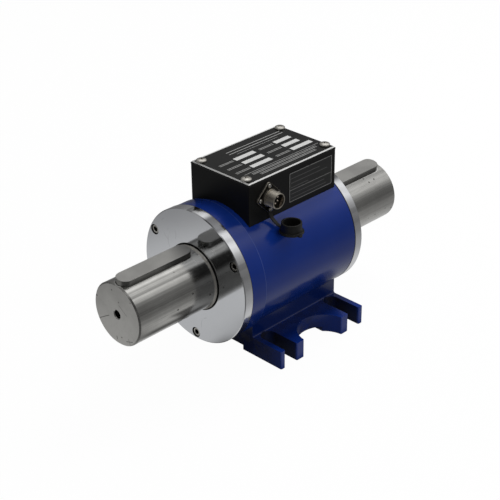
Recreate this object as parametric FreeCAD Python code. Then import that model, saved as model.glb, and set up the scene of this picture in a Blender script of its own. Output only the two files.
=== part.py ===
import FreeCAD, Part
import math
import os
from FreeCAD import Placement, Rotation, Vector

# Rotary torque sensor with two keyed shaft ends, on a foot, in millimetres.
# The shaft lies along X and the signal connector looks along -Y.
# Pieces are drawn about the shaft's centre line, and keep() lifts them onto the foot:
# in the finished part z = 0 is the foot's underside, below the middle of the shaft.

os.makedirs("parts", exist_ok=True)

# Shaft
axis_height = 89.0
shaft_length = 368.0
journal_r = 32.5
journal_chamfer = 1.4
land_step = 1.4
land_reach = 1.8
land_inner_reach = 0.4
land_cone = 1.6
centre_hole_r = 4.25
centre_hole_depth = 24.0
centre_hole_chamfer = 0.75
neck_r = 22.0
neck_fillet = 10.0
hub_step = 2.0
shoulder_step = 2.5
shoulder_width = 4.0

# Parallel keys
key_width = 18.0
key_height = 12.5
key_proud = 5.5
key_chamfer = 0.4
near_key_turn = 4.2
far_key_turn = 9.4
keyway_end_gap = 0.4
keyway_land_gap = 0.1
near_keyway_inset = 1.0
far_keyway_inset = 5.3

# Deep groove ball bearings
bearing_step = 1.1
bearing_section = 20.0
bearing_width = 20.0
bearing_chamfer = 1.0
ball_r = 6.15
ball_count = 9
ring_gap = 6.8
cage_width = 15.0
cage_thickness = 2.4
circlip_width = 2.4
circlip_side_gap = 0.1
circlip_depth = 1.5
circlip_band = 5.0
circlip_opening = 12.0
circlip_lug_r = 3.0
circlip_lug_hole_r = 1.25

# Housing: barrel, collar and foot in one casting
body_half = 76.0
barrel_wall = 12.3
bore_lip = 2.0
collar_step = 2.9
collar_length = 19.7
collar_chamfer = 0.8
collar_to_foot = 6.95
foot_to_far_end = 2.65
foot_half_width = 82.1
foot_thickness = 20.0
pedestal_half_width = 42.4
pedestal_cove = 2.0
outer_tine = 5.9
foot_slot_width = 16.9
foot_slot_wall = 0.5
inner_tine = 10.25
cutout_overhang = 2.4
relief_depth = 5.3
relief_half_width_y = 29.0
relief_cutout_step = 8.8
tine_round = 1.5

# End flanges
flange_thickness = 10.4
near_flange_lip = 0.6
far_flange_lip = 0.2
flange_chamfer = 0.8
flange_bore_gap = 0.8
flange_recess_gap = 2.5
flange_recess_depth = 3.6
spigot_length = 1.2
spigot_wall = 5.4
near_screw_edge = 6.2
far_screw_edge = 6.8
tap_runout = 1.9

# Wave washer behind the far bearing
wave_height = 2.0
wave_thickness = 0.8
wave_count = 4
wave_band = 5.0
wave_points = 8

# Rotary transformer and rotor board
core_width = 12.0
core_height = 7.8
winding_width = 7.0
winding_depth = 3.6
air_gap = 0.6
stator_overlap = 1.0
board_spacing = 3.0
rotor_board_gap = 5.0
rotor_board_thickness = 1.6
rotor_chip_size = 6.0
rotor_chip_height = 2.0
rotor_chip_count = 6
hub_end_margin = 4.0
gauge_length = 12.0
gauge_width = 8.0
gauge_thickness = 0.3
gauge_count = 4

# Speed disc and its pickup
tooth_count = 60
tooth_depth = 3.5
disc_bore_gap = 2.0
disc_width = 6.0
disc_hub_wall = 6.0
disc_hub_width = 12.0
pickup_r = 6.0
pickup_air_gap = 0.6
pickup_nut_flats = 17.0
pickup_nut_height = 3.5
pickup_proud = 2.1

# Electronics box on the barrel, flush with the foot's ends
box_half_width = 40.0
box_rise = 28.8
box_wall = 3.5
box_floor = 3.5
box_edge_round = 0.8
post_inset = 5.0
lid_thickness = 3.0
lid_bevel = 1.5
lid_screw_edge_x = 5.95
lid_screw_edge_y = 9.2
seal_edge = 0.8
seal_width = 1.9
seal_depth = 1.4
boss_rise = 1.2
mount_boss_r = 6.0
pickup_boss_r = 10.5
grommet_boss_r = 7.5
mount_screw_edge = 21.35
mount_screw_y = 14.0
grommet_r = 4.0
grommet_bore_r = 2.4
grommet_brim_r = 6.5
grommet_brim = 1.6

# Main board on its standoffs, and what is soldered on it
standoff_r = 3.5
standoff_rise = 8.0
standoff_edge_x = 5.0
standoff_edge_y = 4.5
main_board_thickness = 1.6
board_post_gap = 1.4
board_wall_gap = 6.0
chip_count = 3
chip_size = 12.0
chip_height = 1.8
chip_pitch = 20.0
chip_row_y = 10.0
capacitor_r = 3.5
capacitor_height = 8.0
capacitor_row_y = -8.0
header_width = 8.0
header_length = 28.0
header_height = 7.0
header_edge = 13.0
terminal_width = 8.0
terminal_length = 16.0
terminal_height = 6.0
terminal_edge = 11.0
terminal_y = -2.0

# Signal connector on the box's front wall
connector_edge = 24.85
connector_drop = 17.8
connector_flange = 24.0
connector_flange_round = 3.0
connector_flange_thickness = 2.0
connector_gasket_thickness = 0.6
connector_shell_r = 8.25
connector_shell_length = 13.0
connector_collar_step = 0.65
connector_collar_length = 2.0
connector_wall = 1.35
connector_socket_depth = 7.6
connector_tail_step = 0.85
connector_tail_length = 4.0
connector_rim_chamfer = 0.5
connector_screw_step = 3.3
insert_length = 6.0
pin_r = 0.7
pin_count = 5
pin_circle_r = 3.9
pin_reach = 3.0
pin_tail = 2.5

# Rubber dust cap on its strap
cap_side_step = 9.5
cap_stand_off = 23.0
cap_fit = 0.15
cap_wall = 1.9
cap_height = 11.0
cap_floor = 2.0
cap_brim_step = 2.05
cap_brim = 1.8
cap_tab_r = 2.5
cap_tab_angle = -97.0
strap_width = 4.6
strap_thickness = 0.9
eyelet_r = 2.9
eyelet_hole_r = 1.5
strap_sections = 7

# Clearances
seat_gap = 0.02
thread_gap = 0.05
hole_gap = 0.3
counterbore_gap = 0.5
moving_gap = 0.15
rest_gap = 0.3
strap_gap = 0.2
axial_float = 0.5
tap_end_gap = 1.0

# Cutters run this far past the face that they open
cut_past = 1.0

# Screws: head radius and height, shank radius and length, hexagon across its flats
m6_socket = {"head_r": 5.0, "head_h": 6.0, "shank_r": 3.0, "length": 18.0, "flats": 5.0}
m5_pan = {"head_r": 5.0, "head_h": 3.3, "shank_r": 2.5, "length": 14.0}
m4_cheese = {"head_r": 3.6, "head_h": 3.0, "shank_r": 2.0, "length": 12.0}
m3_cheese = {"head_r": 2.8, "head_h": 2.2, "shank_r": 1.5, "length": 6.0}
m2_cheese = {"head_r": 2.1, "head_h": 1.5, "shank_r": 1.2, "length": 8.0}

# Radii that follow outwards from the shaft
land_r = journal_r + land_step
key_top = journal_r + key_proud
bearing_bore_r = land_r + bearing_step
bearing_outer_r = bearing_bore_r + bearing_section
pitch_r = (bearing_bore_r + bearing_outer_r) / 2
hub_r = bearing_bore_r + hub_step
shoulder_r = hub_r + shoulder_step
circlip_seat_r = bearing_bore_r - circlip_depth
circlip_r = circlip_seat_r + circlip_band
barrel_bore_r = bearing_outer_r - bore_lip
barrel_r = bearing_outer_r + barrel_wall
collar_r = barrel_r + collar_step
flange_bore_r = land_r + flange_bore_gap
flange_recess_r = circlip_r + circlip_lug_r + flange_recess_gap
near_flange_r = collar_r + near_flange_lip
far_flange_r = barrel_r + far_flange_lip
near_screw_circle_r = collar_r - near_screw_edge
far_screw_circle_r = barrel_r - far_screw_edge
core_r = hub_r + core_height
stator_r = core_r + air_gap
rotor_board_r = barrel_bore_r - rotor_board_gap
disc_r = barrel_bore_r - disc_bore_gap
disc_hub_r = hub_r + disc_hub_wall

# Places along the shaft
shaft_end = shaft_length / 2
flange_face = body_half + flange_thickness
land_end = flange_face + land_reach
cone_end = land_end + land_cone
key_length = (shaft_end - far_keyway_inset - keyway_land_gap - cone_end
              - 2 * keyway_end_gap)
screw_hole_depth = m6_socket["length"] + m6_socket["head_h"] - flange_thickness + tap_runout
spigot_end = body_half - spigot_length
near_bearing_x = -spigot_end
far_bearing_x = spigot_end - wave_height - bearing_width
near_shoulder_x = near_bearing_x + bearing_width
far_shoulder_x = far_bearing_x
core_x = near_shoulder_x + shoulder_width
stator_x = core_x - stator_overlap
stator_width = core_width + 2 * stator_overlap
transformer_x = core_x + core_width / 2
grommet_x = stator_x + stator_width + grommet_r + stator_overlap
rotor_board_x = core_x + core_width + board_spacing
neck_start = rotor_board_x + rotor_board_thickness + hub_end_margin
disc_x = far_shoulder_x - shoulder_width - disc_hub_width
neck_end = disc_x - hub_end_margin
pickup_x = disc_x + disc_width / 2

# Foot and box
near_edge = collar_length + collar_to_foot - body_half
far_edge = body_half - foot_to_far_end
half_length = (far_edge - near_edge) / 2
station_x = (near_edge + far_edge) / 2
foot_top = foot_thickness - axis_height
foot_bottom = -axis_height
foot_slot_x = half_length - outer_tine - foot_slot_width / 2
foot_slot_y = pedestal_half_width + foot_slot_wall + foot_slot_width / 2
cutout_r = foot_slot_x - foot_slot_width / 2 - inner_tine
relief_half_width_x = cutout_r - relief_cutout_step
box_top = barrel_r + box_rise
boss_top = barrel_r + box_floor + boss_rise
pickup_top = boss_top + pickup_nut_height + pickup_proud
lid_screw_x = half_length - lid_screw_edge_x
lid_screw_y = box_half_width - lid_screw_edge_y
mount_screw_x = half_length - mount_screw_edge
main_board_z = boss_top + standoff_rise
board_half_x = lid_screw_x - post_inset - board_post_gap
board_half_y = box_half_width - box_wall - board_wall_gap
standoff_x = board_half_x - standoff_edge_x
standoff_y = board_half_y - standoff_edge_y

# Connector and dust cap
connector_x = near_edge + connector_edge
connector_z = box_top - connector_drop
connector_bore_r = connector_shell_r - connector_wall
connector_collar_r = connector_shell_r + connector_collar_step
connector_tail_r = connector_shell_r - connector_tail_step
connector_screw_circle_r = connector_collar_r + connector_screw_step
front_y = -box_half_width
connector_back = front_y - connector_gasket_thickness
connector_front = connector_back - connector_flange_thickness
shell_front = connector_front - connector_shell_length
insert_front = shell_front + connector_socket_depth
strap_plane = connector_front - strap_gap - strap_thickness / 2
eyelet_z = connector_z - connector_screw_circle_r
cap_x = connector_x + cap_side_step
cap_y = front_y - cap_stand_off
cap_bore_r = connector_shell_r + cap_fit
cap_r = cap_bore_r + cap_wall
cap_brim_r = cap_r + cap_brim_step
cap_rest_y = cap_y + cap_brim_r
cap_bottom = math.sqrt(barrel_r**2 - cap_rest_y**2) + rest_gap

ends = (-1, 1)
axis_x = Vector(1, 0, 0)
axis_z = Vector(0, 0, 1)
origin = Vector(0, 0, 0)


# Shapes that the pieces share

def rod_x(radius, x0, x1, y=0.0, z=0.0):
    """A round bar along X from x0 to x1."""
    return Part.makeCylinder(radius, x1 - x0, Vector(x0, y, z), axis_x)


def rod_y(radius, y0, y1, x, z):
    """A round bar along Y from y0 to y1."""
    return Part.makeCylinder(radius, y1 - y0, Vector(x, y0, z), Vector(0, 1, 0))


def rod_z(radius, z0, z1, x, y):
    """A round bar along Z from z0 to z1."""
    return Part.makeCylinder(radius, z1 - z0, Vector(x, y, z0), axis_z)


def block(x0, x1, y0, y1, z0, z1):
    """A rectangular block between two corners."""
    return Part.makeBox(x1 - x0, y1 - y0, z1 - z0, Vector(x0, y0, z0))


def outline(steps, point):
    """A closed face through the steps; a step that is a pair of points is an arc."""
    edges = []
    start = point(*steps[0])
    here = start
    for step in steps[1:]:
        if isinstance(step[0], tuple):
            there = point(*step[1])
            edges.append(Part.Arc(here, point(*step[0]), there).toShape())
        else:
            there = point(*step)
            edges.append(Part.makeLine(here, there))
        here = there
    if not here.isEqual(start, 1e-7):
        edges.append(Part.makeLine(here, start))
    return Part.Face(Part.Wire(edges))


def turned(*steps):
    """A piece turned about the shaft's centre line from (x, radius) steps."""
    face = outline(list(steps), lambda x, r: Vector(x, 0, -r))
    return face.revolve(origin, axis_x, 360)


def turned_upright(x, y, *steps):
    """A piece turned about a vertical line through (x, y) from (radius, z) steps."""
    face = outline(list(steps), lambda r, z: Vector(x + r, y, z))
    return face.revolve(Vector(x, y, 0), axis_z, 360)


def ring_x(inner_r, outer_r, x0, x1):
    """A plain ring about the shaft."""
    return turned((x0, inner_r), (x1, inner_r), (x1, outer_r), (x0, outer_r))


def mirrored_x(shape):
    """The same piece at the other end of the shaft."""
    return shape.mirror(origin, axis_x)


def around_axis(shape, degrees):
    """A copy turned about the shaft's centre line."""
    return shape.copy().rotate(origin, axis_x, degrees)


def polar(radius, degrees):
    """Y and Z of a point on a circle about the shaft; 0 degrees is the top."""
    angle = math.radians(degrees)
    return -radius * math.sin(angle), radius * math.cos(angle)


def fused(shapes):
    """One solid from pieces that overlap."""
    return shapes[0].multiFuse(shapes[1:]).removeSplitter()


def keep(name, shapes):
    """Write one piece, or a group of like pieces, standing on the foot's underside."""
    solids = []
    for shape in shapes if isinstance(shapes, list) else [shapes]:
        solids.extend(shape.Solids)
    lifted = [solid.translated(Vector(0, 0, axis_height)) for solid in solids]
    piece = lifted[0] if len(lifted) == 1 else Part.makeCompound(lifted)
    if not piece.isValid():
        print("not valid:", name)
    piece.exportStep(f"parts/{name}.step")


# Screws

def placed(shape, position, out):
    """Turn a piece drawn along +Z so that it points outwards along the given direction."""
    copy = shape.copy()
    copy.Placement = Placement(position, Rotation(axis_z, out))
    return copy


def hexagon(flats, z0, z1):
    """A hexagonal bar along Z, given by the distance across its flats."""
    corner_r = flats / math.sqrt(3)
    corners = [polar(corner_r, 60 * i) for i in range(6)]
    points = [Vector(a, b, z0) for a, b in corners]
    face = Part.Face(Part.makePolygon(points + points[:1]))
    return face.extrude(Vector(0, 0, z1 - z0))


def socket_screw(size):
    """A socket head screw with its head's underside at z = 0."""
    head = Part.makeCylinder(size["head_r"], size["head_h"])
    head = head.makeChamfer(0.08 * size["head_r"], [edge_at(head, size["head_h"])])
    shank = Part.makeCylinder(size["shank_r"], size["length"], Vector(0, 0, -size["length"]))
    socket = hexagon(size["flats"], size["head_h"] / 2, size["head_h"] + cut_past)
    return fused([head, shank]).cut(socket)


def pan_screw(size):
    """A pan head screw with a cross recess and its head's underside at z = 0."""
    r = size["head_r"]
    h = size["head_h"]
    head = turned_upright(0, 0, (0, 0), (r, 0), (r, 0.45 * h), ((0.55 * r, 0.86 * h), (0, h)))
    shank = Part.makeCylinder(size["shank_r"], size["length"], Vector(0, 0, -size["length"]))
    arm = 0.52 * r
    width = 0.26 * r
    recess = [block(-arm, arm, -width / 2, width / 2, 0.35 * h, h + cut_past),
              block(-width / 2, width / 2, -arm, arm, 0.35 * h, h + cut_past)]
    return fused([head, shank]).cut(recess[0].fuse(recess[1]))


def cheese_screw(size):
    """A flat-topped slotted screw with its head's underside at z = 0."""
    r = size["head_r"]
    h = size["head_h"]
    head = Part.makeCylinder(r, h)
    shank = Part.makeCylinder(size["shank_r"], size["length"], Vector(0, 0, -size["length"]))
    return fused([head, shank]).cut(block(-r, r, -0.15 * r, 0.15 * r, 0.5 * h, h))


def edge_at(shape, z):
    """The round edge of a bar at the given height."""
    round_edges = [e for e in shape.Edges if abs(e.BoundBox.ZMax - z) < 1e-6
                   and abs(e.BoundBox.ZMin - z) < 1e-6]
    return round_edges[0]


# Shaft and keys

def keyway_span(end):
    """Where a keyway starts and ends along the shaft."""
    inset = near_keyway_inset if end < 0 else far_keyway_inset
    outer = shaft_end - inset
    inner = outer - key_length - 2 * keyway_end_gap
    return (-outer, -inner) if end < 0 else (inner, outer)


def key_turned(shape, end):
    """Turned about the shaft from the top towards the connector's side."""
    angle = near_key_turn if end < 0 else far_key_turn
    return shape.rotated(Vector(0, 0, 0), axis_x, angle)


def rounded_bar(x0, x1, width, z0, z1):
    """A bar along X with half-round ends."""
    half = width / 2
    steps = [(x0 + half, -half), (x1 - half, -half), ((x1, 0), (x1 - half, half)),
             (x0 + half, half), ((x0, 0), (x0 + half, -half))]
    face = outline(steps, lambda x, y: Vector(x, y, z0))
    return face.extrude(Vector(0, 0, z1 - z0))


def half_shaft_steps(shoulder_x, hub_end):
    """One end of the shaft, from its end face to the start of the gauge neck."""
    seat_end = body_half + flange_recess_depth - land_inner_reach
    circlip_x = bearing_outboard(shoulder_x)
    groove_end = circlip_x + circlip_width + circlip_side_gap
    ease = neck_fillet * (1 - math.sqrt(0.5))
    return [(shaft_end, journal_r - journal_chamfer),
            (shaft_end - journal_chamfer, journal_r),
            (cone_end, journal_r),
            (land_end, land_r),
            (seat_end, land_r),
            (seat_end, bearing_bore_r - seat_gap),
            (groove_end, bearing_bore_r - seat_gap),
            (groove_end, circlip_seat_r),
            (circlip_x, circlip_seat_r),
            (circlip_x, bearing_bore_r - seat_gap),
            (abs(shoulder_x), bearing_bore_r - seat_gap),
            (abs(shoulder_x), shoulder_r),
            (abs(shoulder_x) - shoulder_width, shoulder_r),
            (abs(shoulder_x) - shoulder_width, hub_r),
            (hub_end, hub_r),
            (hub_end, neck_r + neck_fillet),
            ((hub_end - ease, neck_r + ease), (hub_end - neck_fillet, neck_r))]


def bearing_outboard(shoulder_x):
    """The distance from the middle of the shaft to a bearing's outer side."""
    return abs(shoulder_x) + bearing_width


def reversed_steps(steps):
    """The same outline walked the other way, on the -X side."""
    points = []
    for step in reversed(steps):
        if isinstance(step[0], tuple):
            through, there = step
            points.append(((-there[0], there[1]), (-through[0], through[1])))
        else:
            points.append(((-step[0], step[1]), None))
    walked = [points[0][0]]
    for (_, through), (there, _) in zip(points, points[1:]):
        walked.append((through, there) if through else there)
    return walked


def make_shaft():
    near = reversed_steps(half_shaft_steps(near_shoulder_x, -neck_start))
    far = half_shaft_steps(far_shoulder_x, neck_end)
    steps = [(shaft_end, 0)] + far + near + [(-shaft_end, 0)]
    shaft = turned(*steps)
    cuts = []
    for end in ends:
        x0, x1 = keyway_span(end)
        slot = rounded_bar(x0, x1, key_width, key_top - key_height, key_top)
        cuts.append(key_turned(slot, end))
        mouth_x = end * shaft_end
        floor_x = mouth_x - end * centre_hole_depth
        cuts.append(rod_x(centre_hole_r, min(mouth_x, floor_x), max(mouth_x, floor_x)))
        cone = Part.makeCone(centre_hole_r + centre_hole_chamfer, centre_hole_r,
                             centre_hole_chamfer, Vector(mouth_x, 0, 0), axis_x * -end)
        cuts.append(cone)
    return shaft.cut(cuts)


def make_key(end):
    x0, x1 = keyway_span(end)
    key = rounded_bar(x0 + keyway_end_gap, x1 - keyway_end_gap, key_width,
                      key_top - key_height, key_top)
    top = [e for e in key.Edges if e.BoundBox.ZMin > key_top - 1e-6]
    return key_turned(key.makeChamfer(key_chamfer, top), end)


# Ball bearings

def make_inner_ring(x0):
    x1 = x0 + bearing_width
    middle = (x0 + x1) / 2
    top = pitch_r - ring_gap / 2
    groove_r = ball_r + moving_gap
    reach = math.sqrt(groove_r**2 - (pitch_r - top) ** 2)
    c = bearing_chamfer
    return turned((x0, bearing_bore_r + c), (x0 + c, bearing_bore_r), (x1 - c, bearing_bore_r),
                  (x1, bearing_bore_r + c), (x1, top), (middle + reach, top),
                  ((middle, pitch_r - groove_r), (middle - reach, top)), (x0, top))


def make_outer_ring(x0):
    x1 = x0 + bearing_width
    middle = (x0 + x1) / 2
    bottom = pitch_r + ring_gap / 2
    rim = bearing_outer_r - seat_gap
    groove_r = ball_r + moving_gap
    reach = math.sqrt(groove_r**2 - (bottom - pitch_r) ** 2)
    c = bearing_chamfer
    return turned((x0, bottom), (middle - reach, bottom),
                  ((middle, pitch_r + groove_r), (middle + reach, bottom)), (x1, bottom),
                  (x1, rim - c), (x1 - c, rim), (x0 + c, rim), (x0, rim - c))


def ball_places(x0):
    middle = x0 + bearing_width / 2
    places = []
    for i in range(ball_count):
        y, z = polar(pitch_r, 360 * i / ball_count)
        places.append(Vector(middle, y, z))
    return places


def make_balls(x0):
    return [Part.makeSphere(ball_r, place) for place in ball_places(x0)]


def make_cage(x0):
    middle = x0 + bearing_width / 2
    cage = ring_x(pitch_r - cage_thickness / 2, pitch_r + cage_thickness / 2,
                  middle - cage_width / 2, middle + cage_width / 2)
    drill = rod_z(ball_r + moving_gap, 0, bearing_outer_r, middle, 0)
    return cage.cut([around_axis(drill, 360 * i / ball_count) for i in range(ball_count)])


def make_circlip(x0):
    x1 = x0 + circlip_width
    seat = circlip_seat_r + seat_gap
    clip = ring_x(seat, circlip_r, x0, x1)
    half = circlip_opening / 2
    lug_r = circlip_r - circlip_lug_r / 2
    lug_z = -math.sqrt(lug_r**2 - (half + circlip_lug_r) ** 2)
    lugs = [rod_x(circlip_lug_r, x0, x1, s * (half + circlip_lug_r), lug_z) for s in ends]
    holes = [rod_x(circlip_lug_hole_r, x0, x1, s * (half + circlip_lug_r), lug_z) for s in ends]
    opening = block(x0, x1, -half, half, -circlip_r - circlip_lug_r, 0)
    return fused([clip] + lugs).cut([opening, rod_x(seat, x0, x1)] + holes)


# Housing

def foot_section():
    """The foot and pedestal seen from the end, with coved inside corners."""
    c = pedestal_cove
    ease = c * (1 - math.sqrt(0.5))
    p = pedestal_half_width
    w = foot_half_width
    steps = [(-w, foot_bottom), (w, foot_bottom), (w, foot_top), (p + c, foot_top),
             ((p + ease, foot_top + ease), (p, foot_top + c)), (p, 0), (-p, 0),
             (-p, foot_top + c), ((-p - ease, foot_top + ease), (-p - c, foot_top)),
             (-w, foot_top)]
    face = outline(steps, lambda y, z: Vector(near_edge, y, z))
    return face.extrude(Vector(far_edge - near_edge, 0, 0))


def foot_slot(side, end):
    """One open slot for a holding-down bolt, round at its inner end."""
    x = station_x + end * foot_slot_x
    half = foot_slot_width / 2
    top = foot_top + pedestal_cove + cut_past
    outer = side * (foot_half_width + cut_past)
    inner = side * foot_slot_y
    mouth = block(x - half, x + half, min(outer, inner), max(outer, inner), foot_bottom, top)
    return mouth.fuse(rod_z(half, foot_bottom, top, x, inner))


def make_foot():
    foot = foot_section()
    cuts = [foot_slot(side, end) for side in ends for end in ends]
    cutout_y = foot_half_width + cutout_overhang
    cuts += [rod_z(cutout_r, foot_bottom, foot_top + cut_past, station_x, side * cutout_y)
             for side in ends]
    foot = foot.cut(cuts)
    upright = [e for e in foot.Edges if e.BoundBox.ZLength > foot_thickness - 1e-3
               and e.BoundBox.XLength < 1e-3 and e.BoundBox.YLength < 1e-3
               and abs(abs(e.BoundBox.YMin) - foot_half_width) < 1e-3]
    foot = foot.makeFillet(tine_round, upright)
    relief_top = foot_bottom + relief_depth
    along_x = block(near_edge, far_edge, -relief_half_width_y, relief_half_width_y,
                    foot_bottom, relief_top)
    along_y = block(station_x - relief_half_width_x, station_x + relief_half_width_x,
                    -foot_half_width, foot_half_width, foot_bottom, relief_top)
    return foot.cut([along_x, along_y])


def screw_angles():
    """Flange screws: two at 60 degrees from the top and one at the bottom."""
    return (60, 180, 300)


def make_housing():
    barrel = rod_x(barrel_r, -body_half, body_half)
    back = collar_length - body_half
    collar = turned((-body_half, 0), (-body_half, collar_r), (back - collar_chamfer, collar_r),
                    (back, collar_r - collar_chamfer), (back, 0))
    housing = fused([barrel, collar, make_foot()])
    cuts = [turned((-body_half, 0), (-body_half, bearing_outer_r),
                   (near_shoulder_x, bearing_outer_r), (near_shoulder_x, barrel_bore_r),
                   (far_shoulder_x - axial_float, barrel_bore_r),
                   (far_shoulder_x - axial_float, bearing_outer_r),
                   (body_half, bearing_outer_r), (body_half, 0))]
    hole_r = m6_socket["shank_r"] + thread_gap
    for angle in screw_angles():
        y, z = polar(near_screw_circle_r, angle)
        cuts.append(rod_x(hole_r, -body_half, screw_hole_depth - body_half, y, z))
        y, z = polar(far_screw_circle_r, angle)
        cuts.append(rod_x(hole_r, body_half - screw_hole_depth, body_half, y, z))
    tap_r = m4_cheese["shank_r"] + thread_gap
    tap_floor = boss_top - m4_cheese["length"] - tap_end_gap
    for x, y in mount_screw_places():
        cuts.append(rod_z(tap_r, tap_floor, barrel_r, x, y))
    cuts.append(rod_z(pickup_r + thread_gap, 0, barrel_r, pickup_x, 0))
    cuts.append(rod_z(grommet_r + seat_gap, 0, barrel_r, grommet_x, 0))
    return housing.cut(cuts)


# End flanges

def make_flange(outer_r, circle_r):
    """A flange at the near end, with its outer face at -flange_face."""
    outside = -flange_face
    inside = -body_half
    tip = -spigot_end
    spigot_r = bearing_outer_r - thread_gap
    flange = turned((outside, flange_bore_r), (outside, outer_r - flange_chamfer),
                    (outside + flange_chamfer, outer_r), (inside, outer_r),
                    (inside, spigot_r), (tip, spigot_r), (tip, spigot_r - spigot_wall),
                    (inside, spigot_r - spigot_wall), (inside, flange_recess_r),
                    (inside - flange_recess_depth, flange_recess_r),
                    (inside - flange_recess_depth, flange_bore_r))
    cuts = []
    for angle in screw_angles():
        y, z = polar(circle_r, angle)
        sink = outside + m6_socket["head_h"]
        cuts.append(rod_x(m6_socket["head_r"] + counterbore_gap, outside, sink, y, z))
        cuts.append(rod_x(m6_socket["shank_r"] + hole_gap, outside, inside, y, z))
    return flange.cut(cuts)


def make_flange_screws(circle_r):
    """Three socket head screws, sunk flush in the near flange."""
    screw = socket_screw(m6_socket)
    screws = []
    for angle in screw_angles():
        y, z = polar(circle_r, angle)
        seat = Vector(-flange_face + m6_socket["head_h"], y, z)
        screws.append(placed(screw, seat, Vector(-1, 0, 0)))
    return screws


def make_wave_washer():
    """A spring ring bent into waves, lofted through sections round the shaft."""
    middle = spigot_end - wave_height / 2
    swing = (wave_height - wave_thickness) / 2 - seat_gap
    outer_r = bearing_outer_r - hole_gap
    inner_r = outer_r - wave_band
    turns = wave_points * wave_count
    rails = []
    for radius in (inner_r, outer_r):
        for lift in (-wave_thickness / 2, wave_thickness / 2):
            points = []
            for i in range(turns):
                x = middle + lift + swing * math.cos(wave_count * 2 * math.pi * i / turns)
                y, z = polar(radius, 360 * i / turns)
                points.append(Vector(x, y, z))
            rail = Part.BSplineCurve()
            rail.interpolate(Points=points, PeriodicFlag=True)
            rails.append(rail.toShape())
    inner_low, inner_high, outer_low, outer_high = rails
    faces = [Part.makeRuledSurface(inner_low, outer_low),
             Part.makeRuledSurface(inner_high, outer_high),
             Part.makeRuledSurface(inner_low, inner_high),
             Part.makeRuledSurface(outer_low, outer_high)]
    shell = Part.Shell([face for ruled in faces for face in ruled.Faces])
    washer = Part.Solid(shell)
    if washer.Volume < 0:
        washer.reverse()
    return washer


# Rotary transformer, rotor board, gauges and speed disc

def make_rotor_core():
    half = winding_width / 2
    seat = hub_r + seat_gap
    x1 = core_x + core_width
    floor = core_r - winding_depth
    return turned((core_x, seat), (x1, seat), (x1, core_r), (transformer_x + half, core_r),
                  (transformer_x + half, floor), (transformer_x - half, floor),
                  (transformer_x - half, core_r), (core_x, core_r))


def make_stator_core():
    half = winding_width / 2 + stator_overlap
    rim = barrel_bore_r - seat_gap
    x1 = stator_x + stator_width
    floor = stator_r + winding_depth
    return turned((stator_x, stator_r), (transformer_x - half, stator_r),
                  (transformer_x - half, floor), (transformer_x + half, floor),
                  (transformer_x + half, stator_r), (x1, stator_r), (x1, rim),
                  (stator_x, rim))


def make_rotor_winding():
    half = winding_width / 2
    return ring_x(core_r - winding_depth, core_r - rest_gap,
                  transformer_x - half, transformer_x + half)


def make_stator_winding():
    half = winding_width / 2 + stator_overlap
    return ring_x(stator_r + rest_gap, stator_r + winding_depth,
                  transformer_x - half, transformer_x + half)


def make_rotor_board():
    x1 = rotor_board_x + rotor_board_thickness
    board = ring_x(hub_r + seat_gap, rotor_board_r, rotor_board_x, x1)
    half = rotor_chip_size / 2
    chip_r = (hub_r + rotor_board_r) / 2
    chip = block(x1, x1 + rotor_chip_height, -half, half, chip_r - half, chip_r + half)
    chips = [around_axis(chip, 360 * i / rotor_chip_count) for i in range(rotor_chip_count)]
    return fused([board] + chips)


def make_gauges():
    """Four foil gauges bonded round the neck."""
    middle = (neck_start + neck_end) / 2
    x0 = middle - gauge_length / 2
    x1 = middle + gauge_length / 2
    inner_r = neck_r + seat_gap
    sleeve = ring_x(inner_r, inner_r + gauge_thickness, x0, x1)
    half = gauge_width / 2
    window = block(x0, x1, -half, half, 0, neck_r * 2)
    return [sleeve.common(around_axis(window, 360 * i / gauge_count)) for i in range(gauge_count)]


def make_speed_disc():
    x1 = disc_x + disc_hub_width
    tip_x = disc_x + disc_width
    seat = hub_r + seat_gap
    disc = turned((disc_x, seat), (x1, seat), (x1, disc_hub_r), (tip_x, disc_hub_r),
                  (tip_x, disc_r), (disc_x, disc_r))
    half_slot = math.pi * disc_r / tooth_count / 2
    slot = block(disc_x, tip_x, -half_slot, half_slot, disc_r - tooth_depth, disc_r + cut_past)
    return disc.cut([around_axis(slot, 360 * i / tooth_count) for i in range(tooth_count)])


def make_pickup():
    return rod_z(pickup_r, disc_r + pickup_air_gap, pickup_top, pickup_x, 0)


def make_pickup_nut():
    nut = hexagon(pickup_nut_flats, 0, pickup_nut_height)
    nut = nut.cut(Part.makeCylinder(pickup_r + thread_gap, pickup_nut_height))
    return placed(nut, Vector(pickup_x, 0, boss_top), axis_z)


# Electronics box

def mount_screw_places():
    return [(station_x + a * mount_screw_x, b * mount_screw_y) for a in ends for b in ends]


def lid_screw_places():
    return [(station_x + a * lid_screw_x, b * lid_screw_y) for a in ends for b in ends]


def standoff_places():
    return [(station_x + a * standoff_x, b * standoff_y) for a in ends for b in ends]


def box_block(inset, z0, z1):
    """A block with the box's outline, moved in by the inset."""
    x = half_length - inset
    y = box_half_width - inset
    return block(station_x - x, station_x + x, -y, y, z0, z1)


def corner_post(a, b):
    """The solid corner that takes a lid screw."""
    x0 = lid_screw_x - post_inset
    y0 = lid_screw_y - post_inset
    post = block(x0, half_length, y0, box_half_width, 0, box_top)
    if a < 0:
        post = mirrored_x(post)
    if b < 0:
        post = post.mirror(origin, Vector(0, 1, 0))
    return post.translated(Vector(station_x, 0, 0))


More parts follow.
